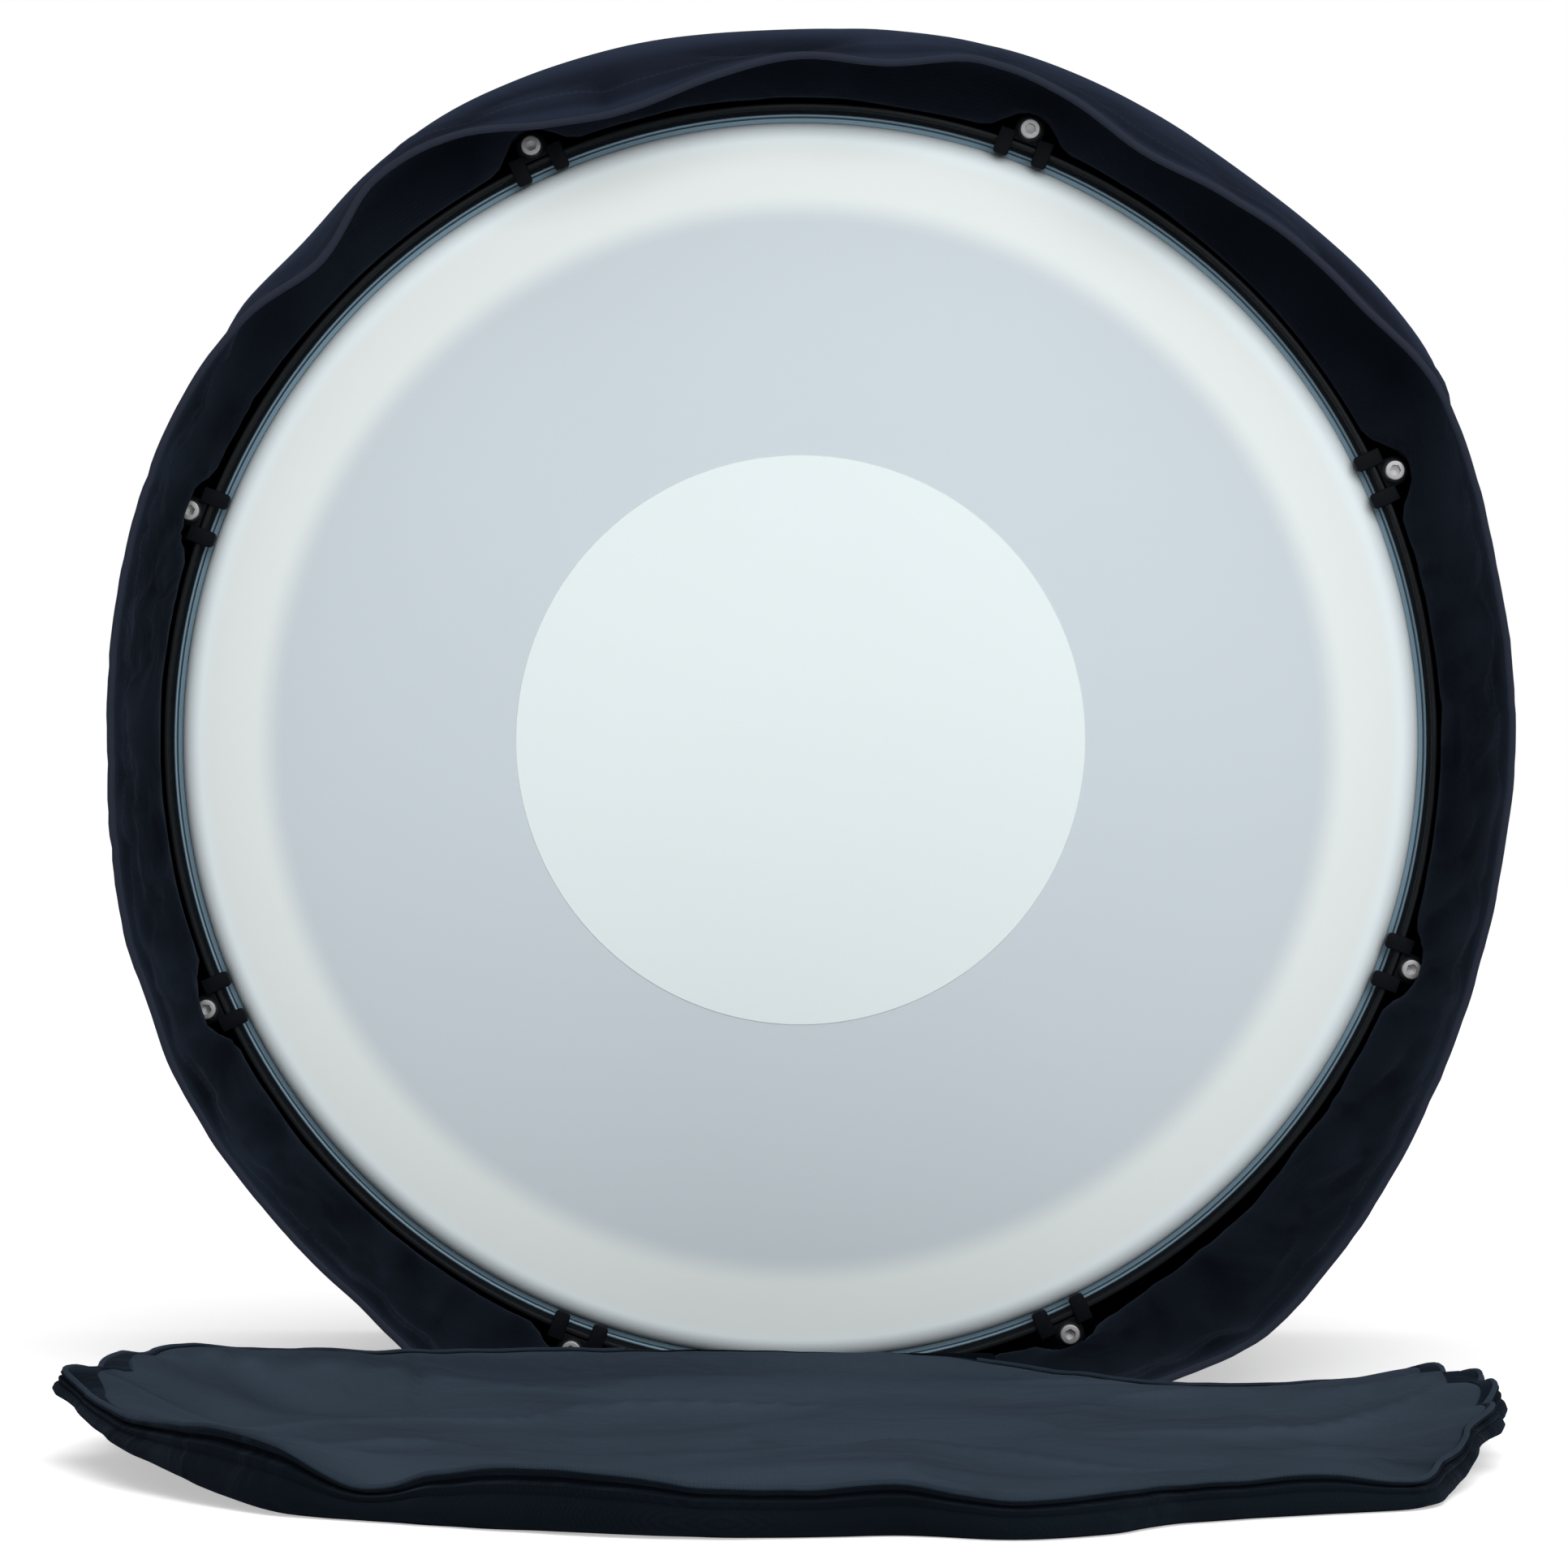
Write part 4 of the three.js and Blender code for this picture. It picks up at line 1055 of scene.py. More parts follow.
def finger_model(name, middle):
    """One finger of a claw: a bar over the hoop whose ends are extruded down inside and outside it."""
    sizes = drum_sizes()
    inner_face = HOOP_RADIUS - sizes.hoop_wall - FINGER_GAP_INSIDE
    outer_face = HOOP_RADIUS + FINGER_GAP_OUTSIDE
    inner, outer = inner_face - sizes.finger_inner, outer_face + sizes.finger_outer
    half = sizes.finger_width / 2
    piece = block(
        name, (inner, CLAW_TOP - sizes.claw_bar, middle - half), (outer, CLAW_TOP, middle + half)
    )
    bpy.ops.object.mode_set(mode="EDIT")
    for place in (inner_face, outer_face):
        bpy.ops.mesh.select_all(action="SELECT")
        bpy.ops.mesh.bisect(plane_co=(place, 0, 0), plane_no=(1, 0, 0))
    reach = CLAW_TOP - sizes.claw_bar - CLAW_BASE
    for low, high, drop in ((inner, inner_face, sizes.finger_reach), (outer_face, outer, reach)):
        bpy.ops.mesh.select_all(action="DESELECT")
        bpy.ops.object.mode_set(mode="OBJECT")
        for polygon in piece.data.polygons:
            polygon.select = polygon.normal.y < -0.9 and low < polygon.center.x < high
        bpy.ops.object.mode_set(mode="EDIT")
        bpy.ops.mesh.extrude_region_move(TRANSFORM_OT_translate={"value": (0, -drop, 0)})
    round_corners(piece, inner, half * FINGER_CORNER_SHARE, 4)
    return piece


def claw_model():
    """One claw about the origin at +X: two fingers, a web between them and a bored boss."""
    sizes = drum_sizes()
    base, seat, boss, bore = CLAW_BASE, claw_seat(), sizes.claw_boss, sizes.claw_bore
    half = sizes.finger_spacing / 2
    outer_face = HOOP_RADIUS + FINGER_GAP_OUTSIDE
    web = block("claw_web", (outer_face, base, -half), (outer_face + sizes.finger_outer, seat, half))
    nose = block("claw_nose", (outer_face, base, -boss), (ROD_CIRCLE + boss, seat, boss))
    round_corners(nose, ROD_CIRCLE + boss, boss, 8)
    low, high = base - CLAW_OVERRUN, seat + CLAW_OVERRUN
    section = [(CLAW_HOLE_CENTRE, low), (bore, low), (bore, high), (CLAW_HOLE_CENTRE, high)]
    hole = turned("claw_hole", section, 32, 1, (ROD_CIRCLE, 0.0))
    claw = finger_model("claw", -half)
    for part in (finger_model("claw_finger", half), web, nose):
        join_up(claw, part, "UNION")
    join_up(claw, hole, "DIFFERENCE")
    round_outer_edges(claw, CLAW_EDGE)
    return claw


def copies_at_stations(model, base_name, finishes, slot, body_of):
    """A copy of a model at each station of both ends, each with its own mesh."""
    for node, angle in ROD_ANGLES.items():
        side, number = node.split("_")[0], node.rsplit("_", 1)[1]
        target = f"{side}_{base_name}_{number}"
        copy = model.copy()
        copy.data = model.data.copy()
        copy.name = copy.data.name = target + "_finished"
        bpy.context.collection.objects.link(copy)
        copy.data.transform(station_matrix(angle, -1 if side == "front" else 1))
        smooth(copy, 35)
        dress(copy, *finishes)
        belongs(copy, slot, body_of(target), target)
    bpy.data.objects.remove(model)


def build_tension():
    """The rods, each on its own body, and the claws."""
    copies_at_stations(rod_model(), "tension_rod", ("steel", "coat"), "rod_chrome", lambda node: node)
    copies_at_stations(claw_model(), "claw", ("casting",), "casting_black", lambda node: "drum")


def build_shell():
    """Finishes of the CAD nodes that are kept as they are."""
    finishes = {
        "shell": "shell", "damping_film_ring": "dot", "damping_foam_ring": "foam",
        "air_vent": "steel", "front_eye_plate": "steel", "rear_eye_plate": "steel",
        "front_carry_ring": "steel", "rear_carry_ring": "steel",
    }
    for node in frame["nodes"]:
        if node.startswith("lug_"):
            finishes[node] = "casting"
    for node, finish in finishes.items():
        dress(frame["nodes"][node], finish)


# Bag

def on_floor(height):
    """A height that levels off softly at the floor."""
    return (height + math.hypot(height, FLOOR_SOFTNESS)) / 2


def clear_of_drum(angle, forward):
    """Least radius of the outer cloth that leaves room for the hoop, and for the claws at their stations."""
    nearest = min(abs(math.remainder(angle - station, TURN)) for station in ROD_ANGLES.values()) * ROD_CIRCLE
    room = mixed(CLAW_ROOM, HOOP_ROOM, ease(nearest, *CLAW_ROOM_REACH))
    return (HOOP_RADIUS + room) * (1 - PAST_RODS_SHARE * ease(forward, ROD_TOP + PAST_RODS, BAG_RIM))


def puffed(angle):
    """Where the cloth stands up in front of the mouth's hem, from 0 to 1."""
    degrees = math.degrees(angle % TURN)
    return ease(degrees, *PUFFED_FROM) * (1 - ease(degrees, *PUFFED_TO))


def bag_radius(angle, forward):
    """Radius of the outer cloth before its folds, at a distance in front of the drum's middle."""
    waist = math.exp(-(forward / WAIST_REACH) ** 2)
    held = around_table(HELD_SHARES, angle) * mixed(HOOP_SHARE, WAIST_SHARE, waist)
    mouth = around_table(MOUTH_SHARES, angle)
    droop = around_table(DROOP_SHARES, angle)
    neck = around_table(NECK_SHARES, angle)
    crest = mouth * 1.016
    behind = ((HELD_FROM, held), (HELD_TO, held), (FALLS_IN, mixed(held, neck, 0.6)))
    slack = (
        *behind, (SLACK_NECK, neck), (SLACK_RISE, mixed(neck, mouth, 0.45)),
        (SLACK_TOP, mixed(neck, mouth, 0.89)), (BAG_RIM, mouth),
    )
    full = (
        *behind, (FULL_NECK, neck), (FULL_RISE, mixed(neck, crest, 0.78)), (FULL_CREST, crest),
        (FULL_FALL, crest * (1 - 0.3 * droop)), (BAG_RIM, mouth * (1 - droop)),
    )
    return bag_sizes().radius * mixed(through(slack, forward), through(full, forward), puffed(angle))


def ridge(place):
    """Narrow soft ridges at places in a random pattern, from 0 to 1."""
    return max(1 - 2.4 * abs(noise.noise(place)), 0) ** 2


def long_folds(around, y):
    """Long folds of the side behind the mouth, from -1 to 1; around points from the axis to the cloth."""
    along = noise.noise(around * 5.5 + Vector((0, 0, y * 3.2 + 4.1)))
    across = noise.noise(around * 9 + Vector((3.3, 0, y * 11)))
    return 0.55 * along + 0.14 * across + 0.12 * ridge(around * 7 + Vector((0, 7.7, y * 8))) - 0.2


def loose_creases(around, y):
    """Creases of the mouth where its cloth hangs loose."""
    diagonal = ridge(around * 8 + Vector((y * 9, 1.1, y * 17)))
    crumple = ridge(around * 17 + Vector((4.2, y * 12, y * 26)))
    soft = 0.4 + noise.noise(around * 10 + Vector((2.2, 0, y * 24)))
    return 0.5 * diagonal + 0.4 * crumple + 0.6 * soft


def drawn_creases(around, y):
    """Creases of the mouth where its cloth stands up before the hem."""
    soft = 0.4 + noise.noise(around * 6 + Vector((5.1, 0, y * 36)))
    return 0.5 * ridge(around * 4.5 + Vector((y * 6, 2.4, y * 30))) + 0.8 * soft


def bag_creases(angle, y):
    """How far the cloth stands off its smooth shape: long folds behind, creases in the mouth."""
    sizes = bag_sizes()
    around = Vector((math.cos(angle), math.sin(angle), 0))
    behind = ease(y, *LONG_FOLDS_FROM)
    body = long_folds(around, y)
    creases = mixed(loose_creases(around, y), drawn_creases(around, y), puffed(angle))
    degrees = math.degrees(angle % TURN)
    smoothed = ease(degrees, *SMOOTH_FROM) * (1 - ease(degrees, *SMOOTH_TO))
    crest = 1 - SMOOTH_CREST_SHARE * smoothed * math.exp(-((y + FULL_CREST) / CREST_WIDTH) ** 2)
    hem = ease(y, *HEM_CREASES_FROM)
    mouth_folds = sizes.crease * crest * hem * creases
    drawn_in = fold_height(BAG_FOLDS, degrees, -y * 1000) * crest
    return sizes.fold * behind * body - (1 - behind) * mouth_folds + drawn_in


def painted_light_of(height, steepness):
    """How much a fold catches the light, from below 0 deep in it to above 0 on its back."""
    return min(max(height * steepness, PAINTED_SHADE_DARKEST), PAINTED_LIGHT_LIGHTEST)


def side_painted_light(angle, y):
    """How much the side catches the light: its folds, the crest and the groove beside the binding."""
    crest = LIT_CREST_SHARE * puffed(angle) * math.exp(-((y + LIT_CREST) / LIT_CREST_WIDTH) ** 2)
    groove = GROOVE_SHARE * math.exp(-((y + BAG_RIM - GROOVE_FROM_HEM) / GROOVE_WIDTH) ** 2)
    return painted_light_of(bag_creases(angle, y) + SIDE_PAINTED_LIGHT_LEVEL, SIDE_PAINTED_LIGHT_STEEPNESS) + crest - groove


def mark_painted_light(piece, values):
    """Keeps on each point of a cloth how much painted light or painted shade its finish gives it."""
    layer = piece.data.attributes.new("relief", "FLOAT", "POINT")
    layer.data.foreach_set("value", values)


def bag_place(angle, y, inset):
    """A point of the bag's outer cloth, a little way in from its side where it turns to the back."""
    side = ease(inset, bag_sizes().corner, 0)
    radius = bag_radius(angle, -y) + bag_creases(angle, y) * side
    clear = clear_of_drum(angle, -y)
    radius = (radius + clear + math.hypot(radius - clear, TOUCH_SOFTNESS)) / 2 - inset
    return (radius * math.cos(angle), y, on_floor(AXIS_Z + radius * math.sin(angle)))


def side_rows():
    """Depth and inset of each loop of points, from the back's seam round the corner to the mouth."""
    corner = bag_sizes().corner
    start, front = BAG_BACK - corner, -HELD_TO
    turns = [math.radians(90 / CORNER_LOOPS * step) for step in range(CORNER_LOOPS)]
    rows = [(start + corner * math.cos(turn), corner * (1 - math.sin(turn))) for turn in turns]
    rows += [(mixed(start, front, step / REAR_LOOPS), 0.0) for step in range(REAR_LOOPS)]
    rows += [(mixed(front, -BAG_RIM, step / MOUTH_LOOPS), 0.0) for step in range(MOUTH_LOOPS + 1)]
    return rows


def map_cloth(piece, place_of):
    """Lays the cloth's own flat map on a piece, so that its threads follow the surface."""
    layer = piece.data.uv_layers.new(name="cloth")
    for polygon in piece.data.polygons:
        for index in polygon.loop_indices:
            vertex = piece.data.vertices[piece.data.loops[index].vertex_index]
            layer.data[index].uv = place_of(vertex.co, polygon.center)


def side_map(place, near):
    """Place on the side's flat map; near is a point of the same face, so that no face spans the join."""
    about = math.atan2(near.z - AXIS_Z, near.x)
    angle = about + math.remainder(math.atan2(place.z - AXIS_Z, place.x) - about, TURN)
    return (angle * bag_sizes().radius, place.y)


def build_bag_side():
    """The side with the binding of its mouth; gives back the loop of points at its back's seam."""
    sizes = bag_sizes()
    count = sizes.around
    rows = side_rows()
    vertices = [bag_place(TURN * i / count, y, inset) for y, inset in rows for i in range(count)]
    side = mesh_piece("bag_side_cloth", vertices, grid_faces(len(rows), count))
    face_outwards(side, lambda place: Vector((place.x, 0, place.z - AXIS_Z)))
    map_cloth(side, side_map)
    mark_painted_light(side, [side_painted_light(TURN * i / count, y) for y, inset in rows for i in range(count)])
    dress(side, "cloth", "mouth")
    apply_modifier(side, "SOLIDIFY", thickness=sizes.cloth, offset=-1, use_rim=True, material_offset=1)
    smooth(side, 60)
    belongs(side, "bag_cloth", "drum", "bag_side")

    path = []
    for x, y, z in vertices[-count:]:
        inward = Vector((x, 0, z - AXIS_Z)).normalized() * sizes.cloth / 2
        place = Vector((x, y - sizes.binding / 3, z)) - inward
        place.z = max(place.z, sizes.binding)
        path.append(place)
    binding = tube_along("bag_rim_binding", path, sizes.binding, True)
    dress(binding, "binding")
    belongs(binding, "bag_binding", "drum", "rim_binding")
    return vertices[:count]


def build_bag_back(seam):
    """The round back, sunk a little between its seam and the rods, and the piping along the seam."""
    sizes = bag_sizes()
    count = sizes.around
    vertices = []
    for step in range(1, BACK_LOOPS + 1):
        share = step / BACK_LOOPS
        for x, y, z in seam:
            place = Vector((x * share, y, AXIS_Z + (z - AXIS_Z) * share))
            rumple = noise.noise(Vector((place.x * 7, 3.1, place.z * 7)))
            crease = max(1 - 3 * abs(noise.noise(Vector((place.x * 5, 9.4, place.z * 6)))), 0) ** 2
            hollow = (1 - share * share) * (BACK_HOLLOW + BACK_HOLLOW * rumple - BACK_CREASE * crease)
            vertices.append((place.x, y - hollow, place.z))
    faces = grid_faces(BACK_LOOPS, count)
    vertices.append((0, BAG_BACK - BACK_HOLLOW, AXIS_Z))
    faces += [(i, (i + 1) % count, len(vertices) - 1) for i in range(count)]
    back = mesh_piece("bag_back_cloth", vertices, faces)
    face_outwards(back, lambda place: Vector((0, 1, 0)))
    map_cloth(back, lambda place, near: (place.x, place.z))
    dress(back, "cloth", "mouth")
    apply_modifier(back, "SOLIDIFY", thickness=sizes.cloth, offset=-1, use_rim=True, material_offset=1)
    smooth(back, 60)
    belongs(back, "bag_cloth", "drum", "bag_back")

    path = [Vector((x, y + sizes.seam / 4, max(z, sizes.seam))) for x, y, z in seam]
    piping = tube_along("bag_back_seam_piping", path, sizes.seam, True)
    dress(piping, "binding")
    belongs(piping, "bag_binding", "drum")


def build_bag():
    """The side and the back, sewn together along the back's seam."""
    seam = build_bag_side()
    build_bag_back(seam)


# Lid

def lid_middle():
    """How far along Y the middle of the round lid lies, for its join to come at the mouth."""
    sizes = bag_sizes()
    return LID_JOIN - math.sqrt(sizes.lid_radius ** 2 - (sizes.lid_join / 2) ** 2)


def lid_pleats(angle):
    """Rounded lobes of the bunched cloth at the lid's tips, from -1 to 1."""
    offset = 0
    for middle, reach, pitch in LID_PLEATS:
        away = math.degrees(math.remainder(angle - math.radians(middle), TURN))
        lobe = 2 * abs(math.sin(math.pi * away / pitch)) - 1
        offset += lobe * (1 - ease(abs(away), reach * PLEAT_FULL_SHARE, reach))
    return offset


def lid_edge(angle):
    """Radius of the lid's outline, and the heights of its edge's underside and top."""
    sizes = bag_sizes()
    around = Vector((math.cos(angle), math.sin(angle), 0))
    wave = noise.noise(around * 7 + Vector((0, 0, 1.7)))
    ripple = noise.noise(around * 17 + Vector((0, 0, 5.2)))
    pleat = sizes.pleat * lid_pleats(angle)
    radius = sizes.lid_radius * around_table(LID_OUTLINE_SHARES, angle)
    radius = radius + EDGE_WAVE * wave + EDGE_RIPPLE * ripple + pleat
    under = sizes.lid_height * max(around_table(LID_UNDER_SHARES, angle), 0.0)
    top = sizes.lid_height * around_table(LID_TOP_SHARES, angle)
    top = top + TOP_RIPPLE * ripple + PLEAT_LIFT_SHARE * pleat
    return radius, under, max(top, under + LEAST_EDGE)


def lid_flap(angle):
    """How far in from the edge the outer cloth turns over the top before the lining is sewn to it."""
    away = [math.remainder(angle - math.radians(tip), TURN) / FLAP_TIP_REACH for tip in FLAP_TIPS]
    at_tips = max(math.exp(-distance ** 2) for distance in away)
    far = max(math.sin(angle), 0) ** 3
    return FLAP + FLAP_AT_TIPS * at_tips + FLAP_FAR * far


# Edge of the lid from its underside up: inset in metres, and share of the way from underside to top
LID_EDGE = (
    (0.03, -0.1), (0.012, -0.05), (0.004, 0.0), (-0.001, 0.12), (-0.002, 0.3),
    (-0.001, 0.47), (0.0015, 0.58), (0.0008, 0.66), (0.0008, 0.74), (0.0048, 0.79),
    (0.0052, 0.86), (0.002, 0.91), (0.0018, 0.96), (0.0036, 1.0),
)
# Flap that turns over the top: share of the way in from the edge to the seam, and lift in metres
LID_FLAP = ((0.5, 0.0007), (0.96, 0.0004), (1.0, -0.0006))


def lid_row(count, inset_of, height_of):
    """A loop of points round the lid at an inset and a height, which both depend on the edge there."""
    row = []
    for i in range(count):
        angle = TURN * i / count
        radius, under, top = lid_edge(angle)
        inset = inset_of(angle, radius)
        y = min(lid_middle() + (radius - inset) * math.sin(angle), LID_JOIN)
        x = (radius - inset) * math.cos(angle)
        row.append(Vector((x, y, max(height_of(x, y, inset, under, top), 0.0))))
    return row


def lid_rumple(x, y):
    """Height of the folds of the lid's lining."""
    rumple = noise.noise(Vector((x * 8, y * 13, 0.3)))
    crease = max(1 - 2 * abs(noise.noise(Vector((x * 6, y * 8, 2.6)))), 0) ** 3
    return LID_RUMPLE * rumple + LID_CREASE * crease + fold_height(LID_FOLDS, x, y)


def lid_painted_light(x, y):
    """How much the lining catches the light: a slope that faces the front is the lighter one."""
    reach = LID_PAINTED_LIGHT_REACH
    return painted_light_of(lid_rumple(x, y + reach) - lid_rumple(x, y - reach), LID_PAINTED_LIGHT / (2 * reach))


def panel_height(x, y, inset, top):
    """Height of the lining: it falls from the seam at the edge to the flat dish, with its folds."""
    height = mixed(top, bag_sizes().lid_dish, ease(inset, PANEL_SEAM, PANEL_FLAT))
    return height + ease(inset, PANEL_SEAM, PANEL_RUMPLED) * lid_rumple(x, y)


def under_loops(count):
    """The lid's underside from its middle out: flat on the ground, and rising at the edge."""
    loops = [
        lid_row(count, lambda angle, radius: radius * share, lambda x, y, inset, under, top: 0.0)
        for share in UNDER_INSET_SHARES
    ]
    bend = lid_row(
        count, lambda angle, radius: UNDER_BEND, lambda x, y, inset, under, top: under * UNDER_LIFT_SHARE
    )
    return [*loops, bend]


def edge_loops(count):
    """The lid's edge from its underside up to its top."""
    return [
        lid_row(count, lambda angle, radius: start, lambda x, y, inset, under, top: mixed(under, top, share))
        for start, share in LID_EDGE
    ]


def flap_loops(count):
    """The outer cloth that turns over the top, from the edge in to the seam of the lining."""
    start = LID_EDGE[-1][0]
    return [
        lid_row(
            count, lambda angle, radius: mixed(start, lid_flap(angle), share),
            lambda x, y, inset, under, top: top + lift,
        )
        for share, lift in LID_FLAP
    ]


def panel_loops(count):
    """The lining from its seam in to the middle."""
    return [
        lid_row(
            count, lambda angle, radius: mixed(lid_flap(angle) + FLAP_SEAM, radius - PANEL_CENTRE, share),
            lambda x, y, inset, under, top: panel_height(x, y, inset, top),
        )
        for share in (step / PANEL_LOOPS for step in range(PANEL_LOOPS + 1))
    ]


def build_lid():
    """The padded lid, its lining as its second finish, and the piping round its edge."""
    sizes = bag_sizes()
    count = sizes.around
    outer_rows = under_loops(count) + edge_loops(count) + flap_loops(count)
    rows = outer_rows + panel_loops(count)
    vertices = [tuple(place) for row in rows for place in row]
    faces = grid_faces(len(rows), count)
    faces.append(tuple(range(count)))
    last = (len(rows) - 1) * count
    faces.append(tuple(range(last, last + count)))
    lid = mesh_piece("bag_lid_cloth", vertices, faces)
    map_cloth(lid, lambda place, near: (place.x, place.y))
    mark_painted_light(lid, [lid_painted_light(x, y) if z > LINING_FROM else 0 for x, y, z in vertices])
    dress(lid, "lid", "lining")
    seam = (len(outer_rows) - 1) * count
    for polygon in lid.data.polygons:
        polygon.material_index = 1 if min(polygon.vertices) >= seam else 0
    smooth(lid, 50)
    belongs(lid, "bag_cloth", "bag_lid", "bag_lid")

    path = []
    for i in range(count):
        angle = TURN * (i / count + 0.25)
        radius, under, top = lid_edge(angle)
        reach = radius - LID_EDGE[-1][0]
        y = lid_middle() + reach * math.sin(angle)
        if y < LID_JOIN - PIPING_STOP:
            path.append(Vector((reach * math.cos(angle), y, top + sizes.piping * PIPING_LIFT_SHARE)))
    piping = tube_along("lid_edge_piping", path, sizes.piping, False)
    dress(piping, "lining")
    belongs(piping, "bag_binding", "bag_lid", "lid_piping")


def build_hinge():
    """The strip of cloth along which the lid is sewn to the mouth."""
    sizes = bag_sizes()
    half = sizes.lid_join / 2
    places = [
        (mixed(-half, half, column / JOIN_COLUMNS), y, z)
        for y, z in JOIN_LINE for column in range(JOIN_COLUMNS + 1)
    ]
    strip = mesh_piece("lid_join_strip", places, grid_faces(len(JOIN_LINE), JOIN_COLUMNS + 1, False))
    face_outwards(strip, lambda place: Vector((0, -1, 0)))
    map_cloth(strip, lambda place, near: (place.x, place.z))
    apply_modifier(strip, "SOLIDIFY", thickness=JOIN_CLOTH, offset=-1, use_rim=True)
    apply_modifier(strip, "SUBSURF", levels=1, render_levels=1)
    smooth(strip, 60)
    dress(strip, "lid")
    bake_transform(strip)


# Stage

def build_stage():
    """The pale floor, the light all round, the two lamps and the camera."""
    stage, palette = bpy.context.scene.stage_settings, colours()
    deselect_all()
    bpy.ops.mesh.primitive_plane_add(size=stage.floor_size, location=(0, 0, -FLOOR_DROP))
    floor = bpy.context.object
    floor.name = "studio_floor"
    material, shader = new_material("studio_floor")
    tree = material.node_tree
    shader.inputs["Base Color"].default_value = palette.floor
    shader.inputs["Roughness"].default_value = 0.95
    shader.inputs["Specular IOR Level"].default_value = 0.0
    shader.inputs["Emission Color"].default_value = (1, 1, 1, 1)
    glow = math_node(tree, "MULTIPLY", seen_ray(tree), stage.floor_glow)
    tree.links.new(glow, shader.inputs["Emission Strength"])
    floor.data.materials.append(material)

    world = bpy.data.worlds.new("studio")
    bpy.context.scene.world = world
    world.use_nodes = True
    tree = world.node_tree
    background = tree.nodes["Background"]
    strength = math_node(tree, "MULTIPLY_ADD", seen_ray(tree), 1 - stage.fill, stage.fill)
    tree.links.new(strength, background.inputs["Strength"])
    background.inputs["Color"].default_value = (1, 1, 1, 1)

    deselect_all()
    bpy.ops.object.light_add(type="AREA", location=KEY_PLACE)
    key = bpy.context.object
    key.name = "key_light"
    key.data.energy = stage.key
    key.data.size = stage.key_size
    key.rotation_euler = (Vector(KEY_AIM) - key.location).to_track_quat("-Z", "Y").to_euler()

    deselect_all()
    bpy.ops.object.light_add(type="SUN", location=(0, 0, 4), rotation=(math.radians(TOP_TILT), 0, 0))
    top = bpy.context.object
    top.name = "top_light"
    top.data.energy = stage.top
    top.data.angle = math.radians(TOP_WIDTH)

    deselect_all()
    place = (stage.camera_side, -HOOP_FRONT - stage.camera_distance, stage.camera_height)
    bpy.ops.object.camera_add(location=place, rotation=(math.pi / 2, 0, 0))
    camera = bpy.context.object
    camera.data.lens = stage.lens
    camera.data.sensor_width = stage.sensor
    camera.data.clip_end = 100
    bpy.context.scene.camera = camera
    bpy.context.scene.view_settings.view_transform = "Standard"


def seen_ray(tree):
    """1 for rays that see a surface directly, in a reflection or through glass, and 0 for its light."""
    path = add_node(tree, "ShaderNodeLightPath")
    seen = math_node(tree, "MAXIMUM", path.outputs["Is Camera Ray"], path.outputs["Is Glossy Ray"])
    return math_node(tree, "MAXIMUM", seen, path.outputs["Is Transmission Ray"])


# Operators

class BassDrumOperator(bpy.types.Operator):
    """Shared behaviour of the operators that build one group of pieces."""

    bl_options = {"REGISTER", "UNDO"}

    def execute(self, context):
        self.build()
        return {"FINISHED"}


class BASSDRUM_OT_materials(BassDrumOperator):
    """Makes the finishes of all the pieces"""

    bl_idname = "bassdrum.materials"
    bl_label = "Materials"
    build = staticmethod(make_materials)


class BASSDRUM_OT_heads(BassDrumOperator):
    """Builds the two heads and the centre dot"""

    bl_idname = "bassdrum.heads"
    bl_label = "Heads"
    build = staticmethod(build_heads)


class BASSDRUM_OT_hoops(BassDrumOperator):
    """Builds the flesh hoops and counter hoops"""

    bl_idname = "bassdrum.hoops"
    bl_label = "Hoops"
    build = staticmethod(build_hoops)


class BASSDRUM_OT_tension(BassDrumOperator):
    """Builds the tension rods and claws"""

    bl_idname = "bassdrum.tension"
    bl_label = "Rods and claws"
    build = staticmethod(build_tension)


class BASSDRUM_OT_shell(BassDrumOperator):
    """Finishes the shell, lugs, vent, damping ring and carrying eyes"""

    bl_idname = "bassdrum.shell"
    bl_label = "Shell and fittings"
    build = staticmethod(build_shell)


class BASSDRUM_OT_bag(BassDrumOperator):
    """Builds the bag's side, its back and the binding of its mouth"""

    bl_idname = "bassdrum.bag"
    bl_label = "Bag"
    build = staticmethod(build_bag)


class BASSDRUM_OT_lid(BassDrumOperator):
    """Builds the bag's lid as it lies on the ground"""

    bl_idname = "bassdrum.lid"
    bl_label = "Lid"
    build = staticmethod(build_lid)


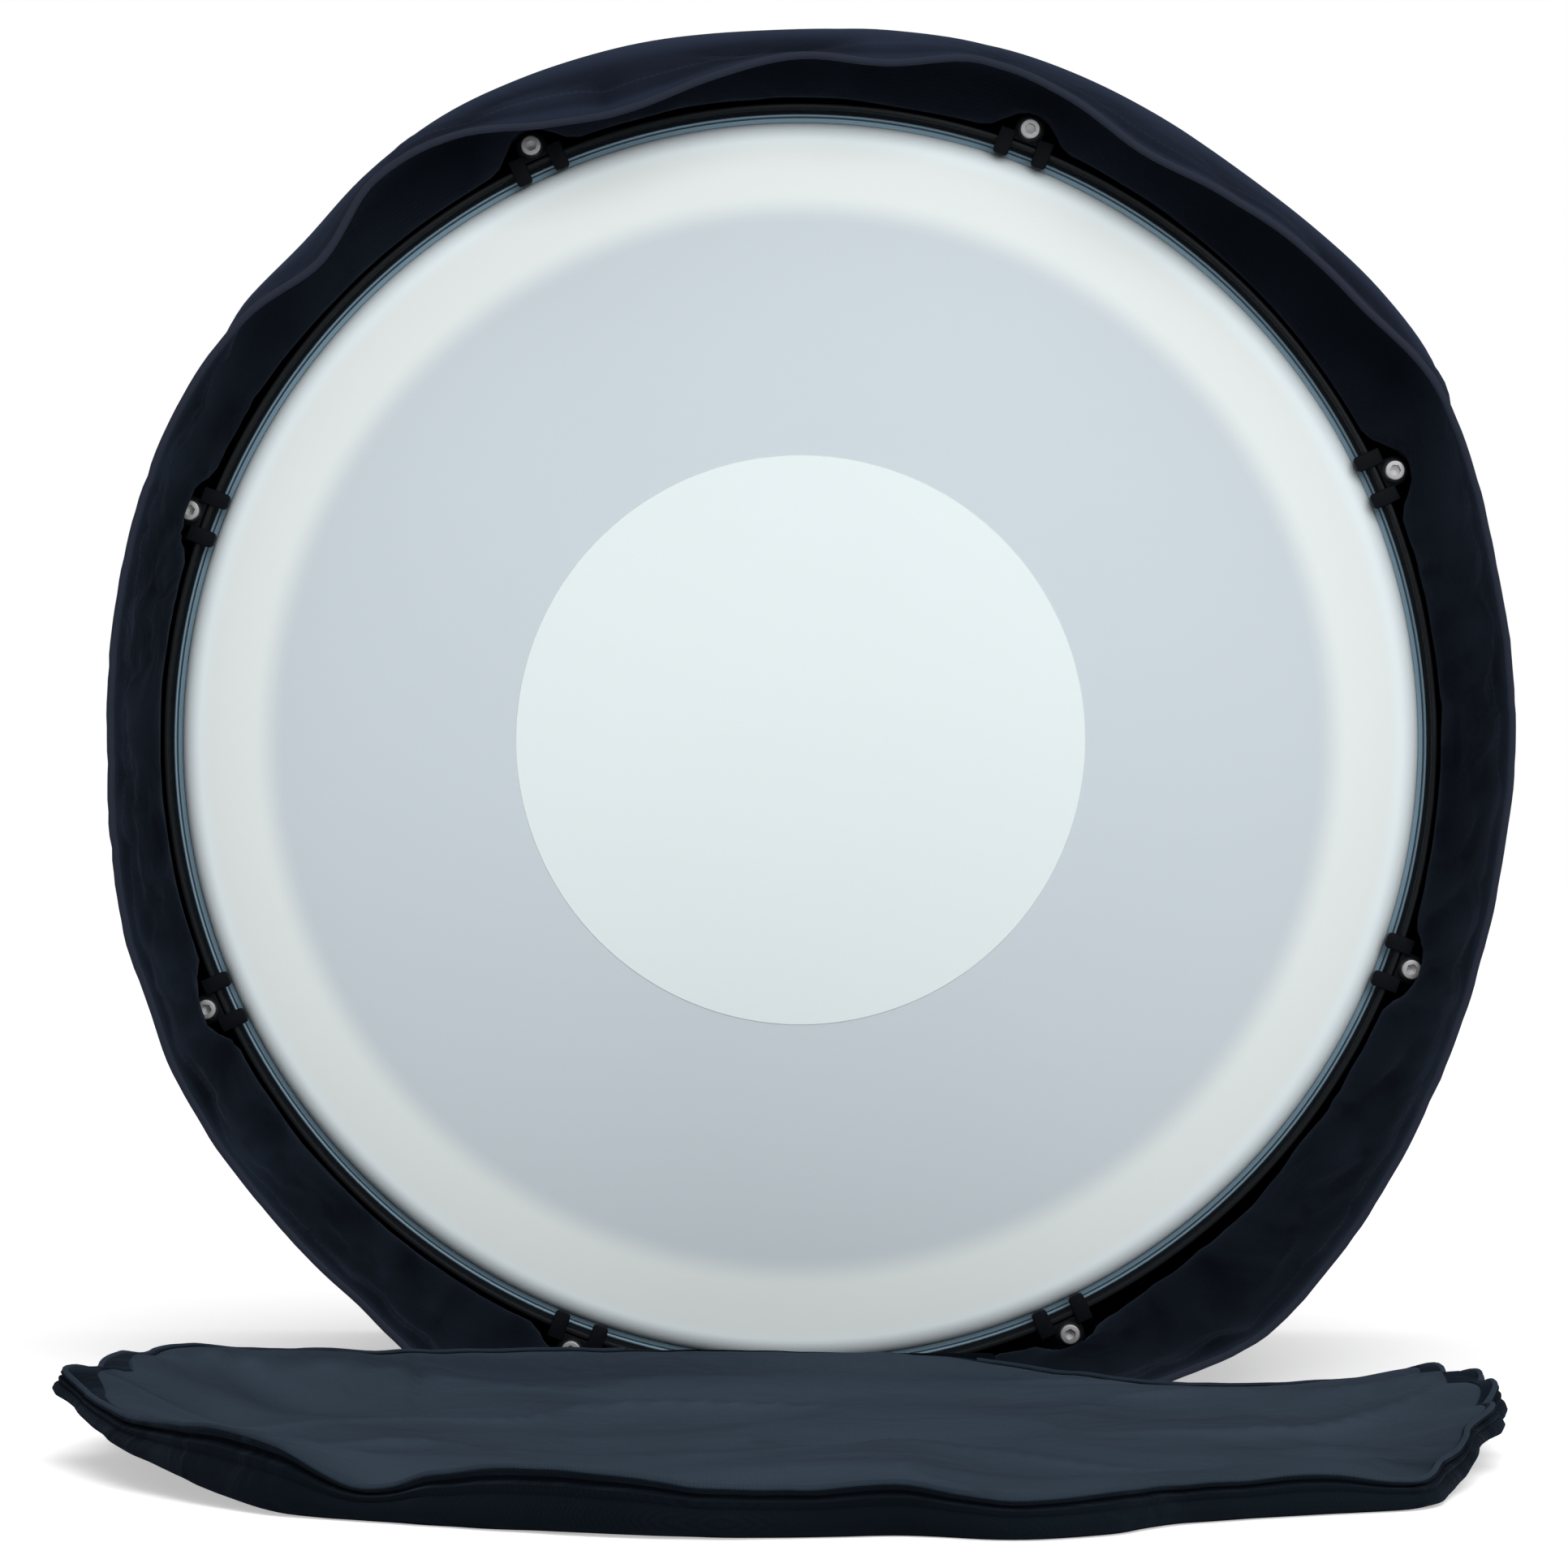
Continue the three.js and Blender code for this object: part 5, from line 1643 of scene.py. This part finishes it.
class BASSDRUM_OT_hinge(BassDrumOperator):
    """Builds the strip that joins the lid to the bag"""

    bl_idname = "bassdrum.hinge"
    bl_label = "Lid's join"
    build = staticmethod(build_hinge)


class BASSDRUM_OT_stage(BassDrumOperator):
    """Sets the floor, the light and the camera"""

    bl_idname = "bassdrum.stage"
    bl_label = "Stage"
    build = staticmethod(build_stage)


BUILDERS = (
    BASSDRUM_OT_materials, BASSDRUM_OT_heads, BASSDRUM_OT_hoops, BASSDRUM_OT_tension, BASSDRUM_OT_shell,
    BASSDRUM_OT_bag, BASSDRUM_OT_lid, BASSDRUM_OT_hinge, BASSDRUM_OT_stage,
)


class BASSDRUM_PT_panel(bpy.types.Panel):
    """Lists the drum's builders in the sidebar."""

    bl_idname = "BASSDRUM_PT_panel"
    bl_label = "Bass Drum"
    bl_space_type = "VIEW_3D"
    bl_region_type = "UI"
    bl_category = "Bass Drum"

    def draw(self, context):
        for builder in BUILDERS:
            self.layout.operator(builder.bl_idname)


SETTINGS = {
    "drum_sizes": DrumSizes, "bag_sizes": BagSizes,
    "drum_colours": DrumColours, "stage_settings": StageSettings,
}


def register():
    for group in SETTINGS.values():
        bpy.utils.register_class(group)
    for name, group in SETTINGS.items():
        setattr(bpy.types.Scene, name, PointerProperty(type=group))
    for builder in BUILDERS:
        bpy.utils.register_class(builder)
    bpy.utils.register_class(BASSDRUM_PT_panel)


def unregister():
    bpy.utils.unregister_class(BASSDRUM_PT_panel)
    for builder in reversed(BUILDERS):
        bpy.utils.unregister_class(builder)
    for name in SETTINGS:
        delattr(bpy.types.Scene, name)
    for group in SETTINGS.values():
        bpy.utils.unregister_class(group)


def main():
    register()
    bpy.ops.bassdrum.materials()
    bpy.ops.bassdrum.heads()
    bpy.ops.bassdrum.hoops()
    bpy.ops.bassdrum.tension()
    bpy.ops.bassdrum.shell()
    bpy.ops.bassdrum.bag()
    bpy.ops.bassdrum.lid()
    bpy.ops.bassdrum.hinge()
    bpy.ops.bassdrum.stage()


if __name__ == "__main__":
    main()
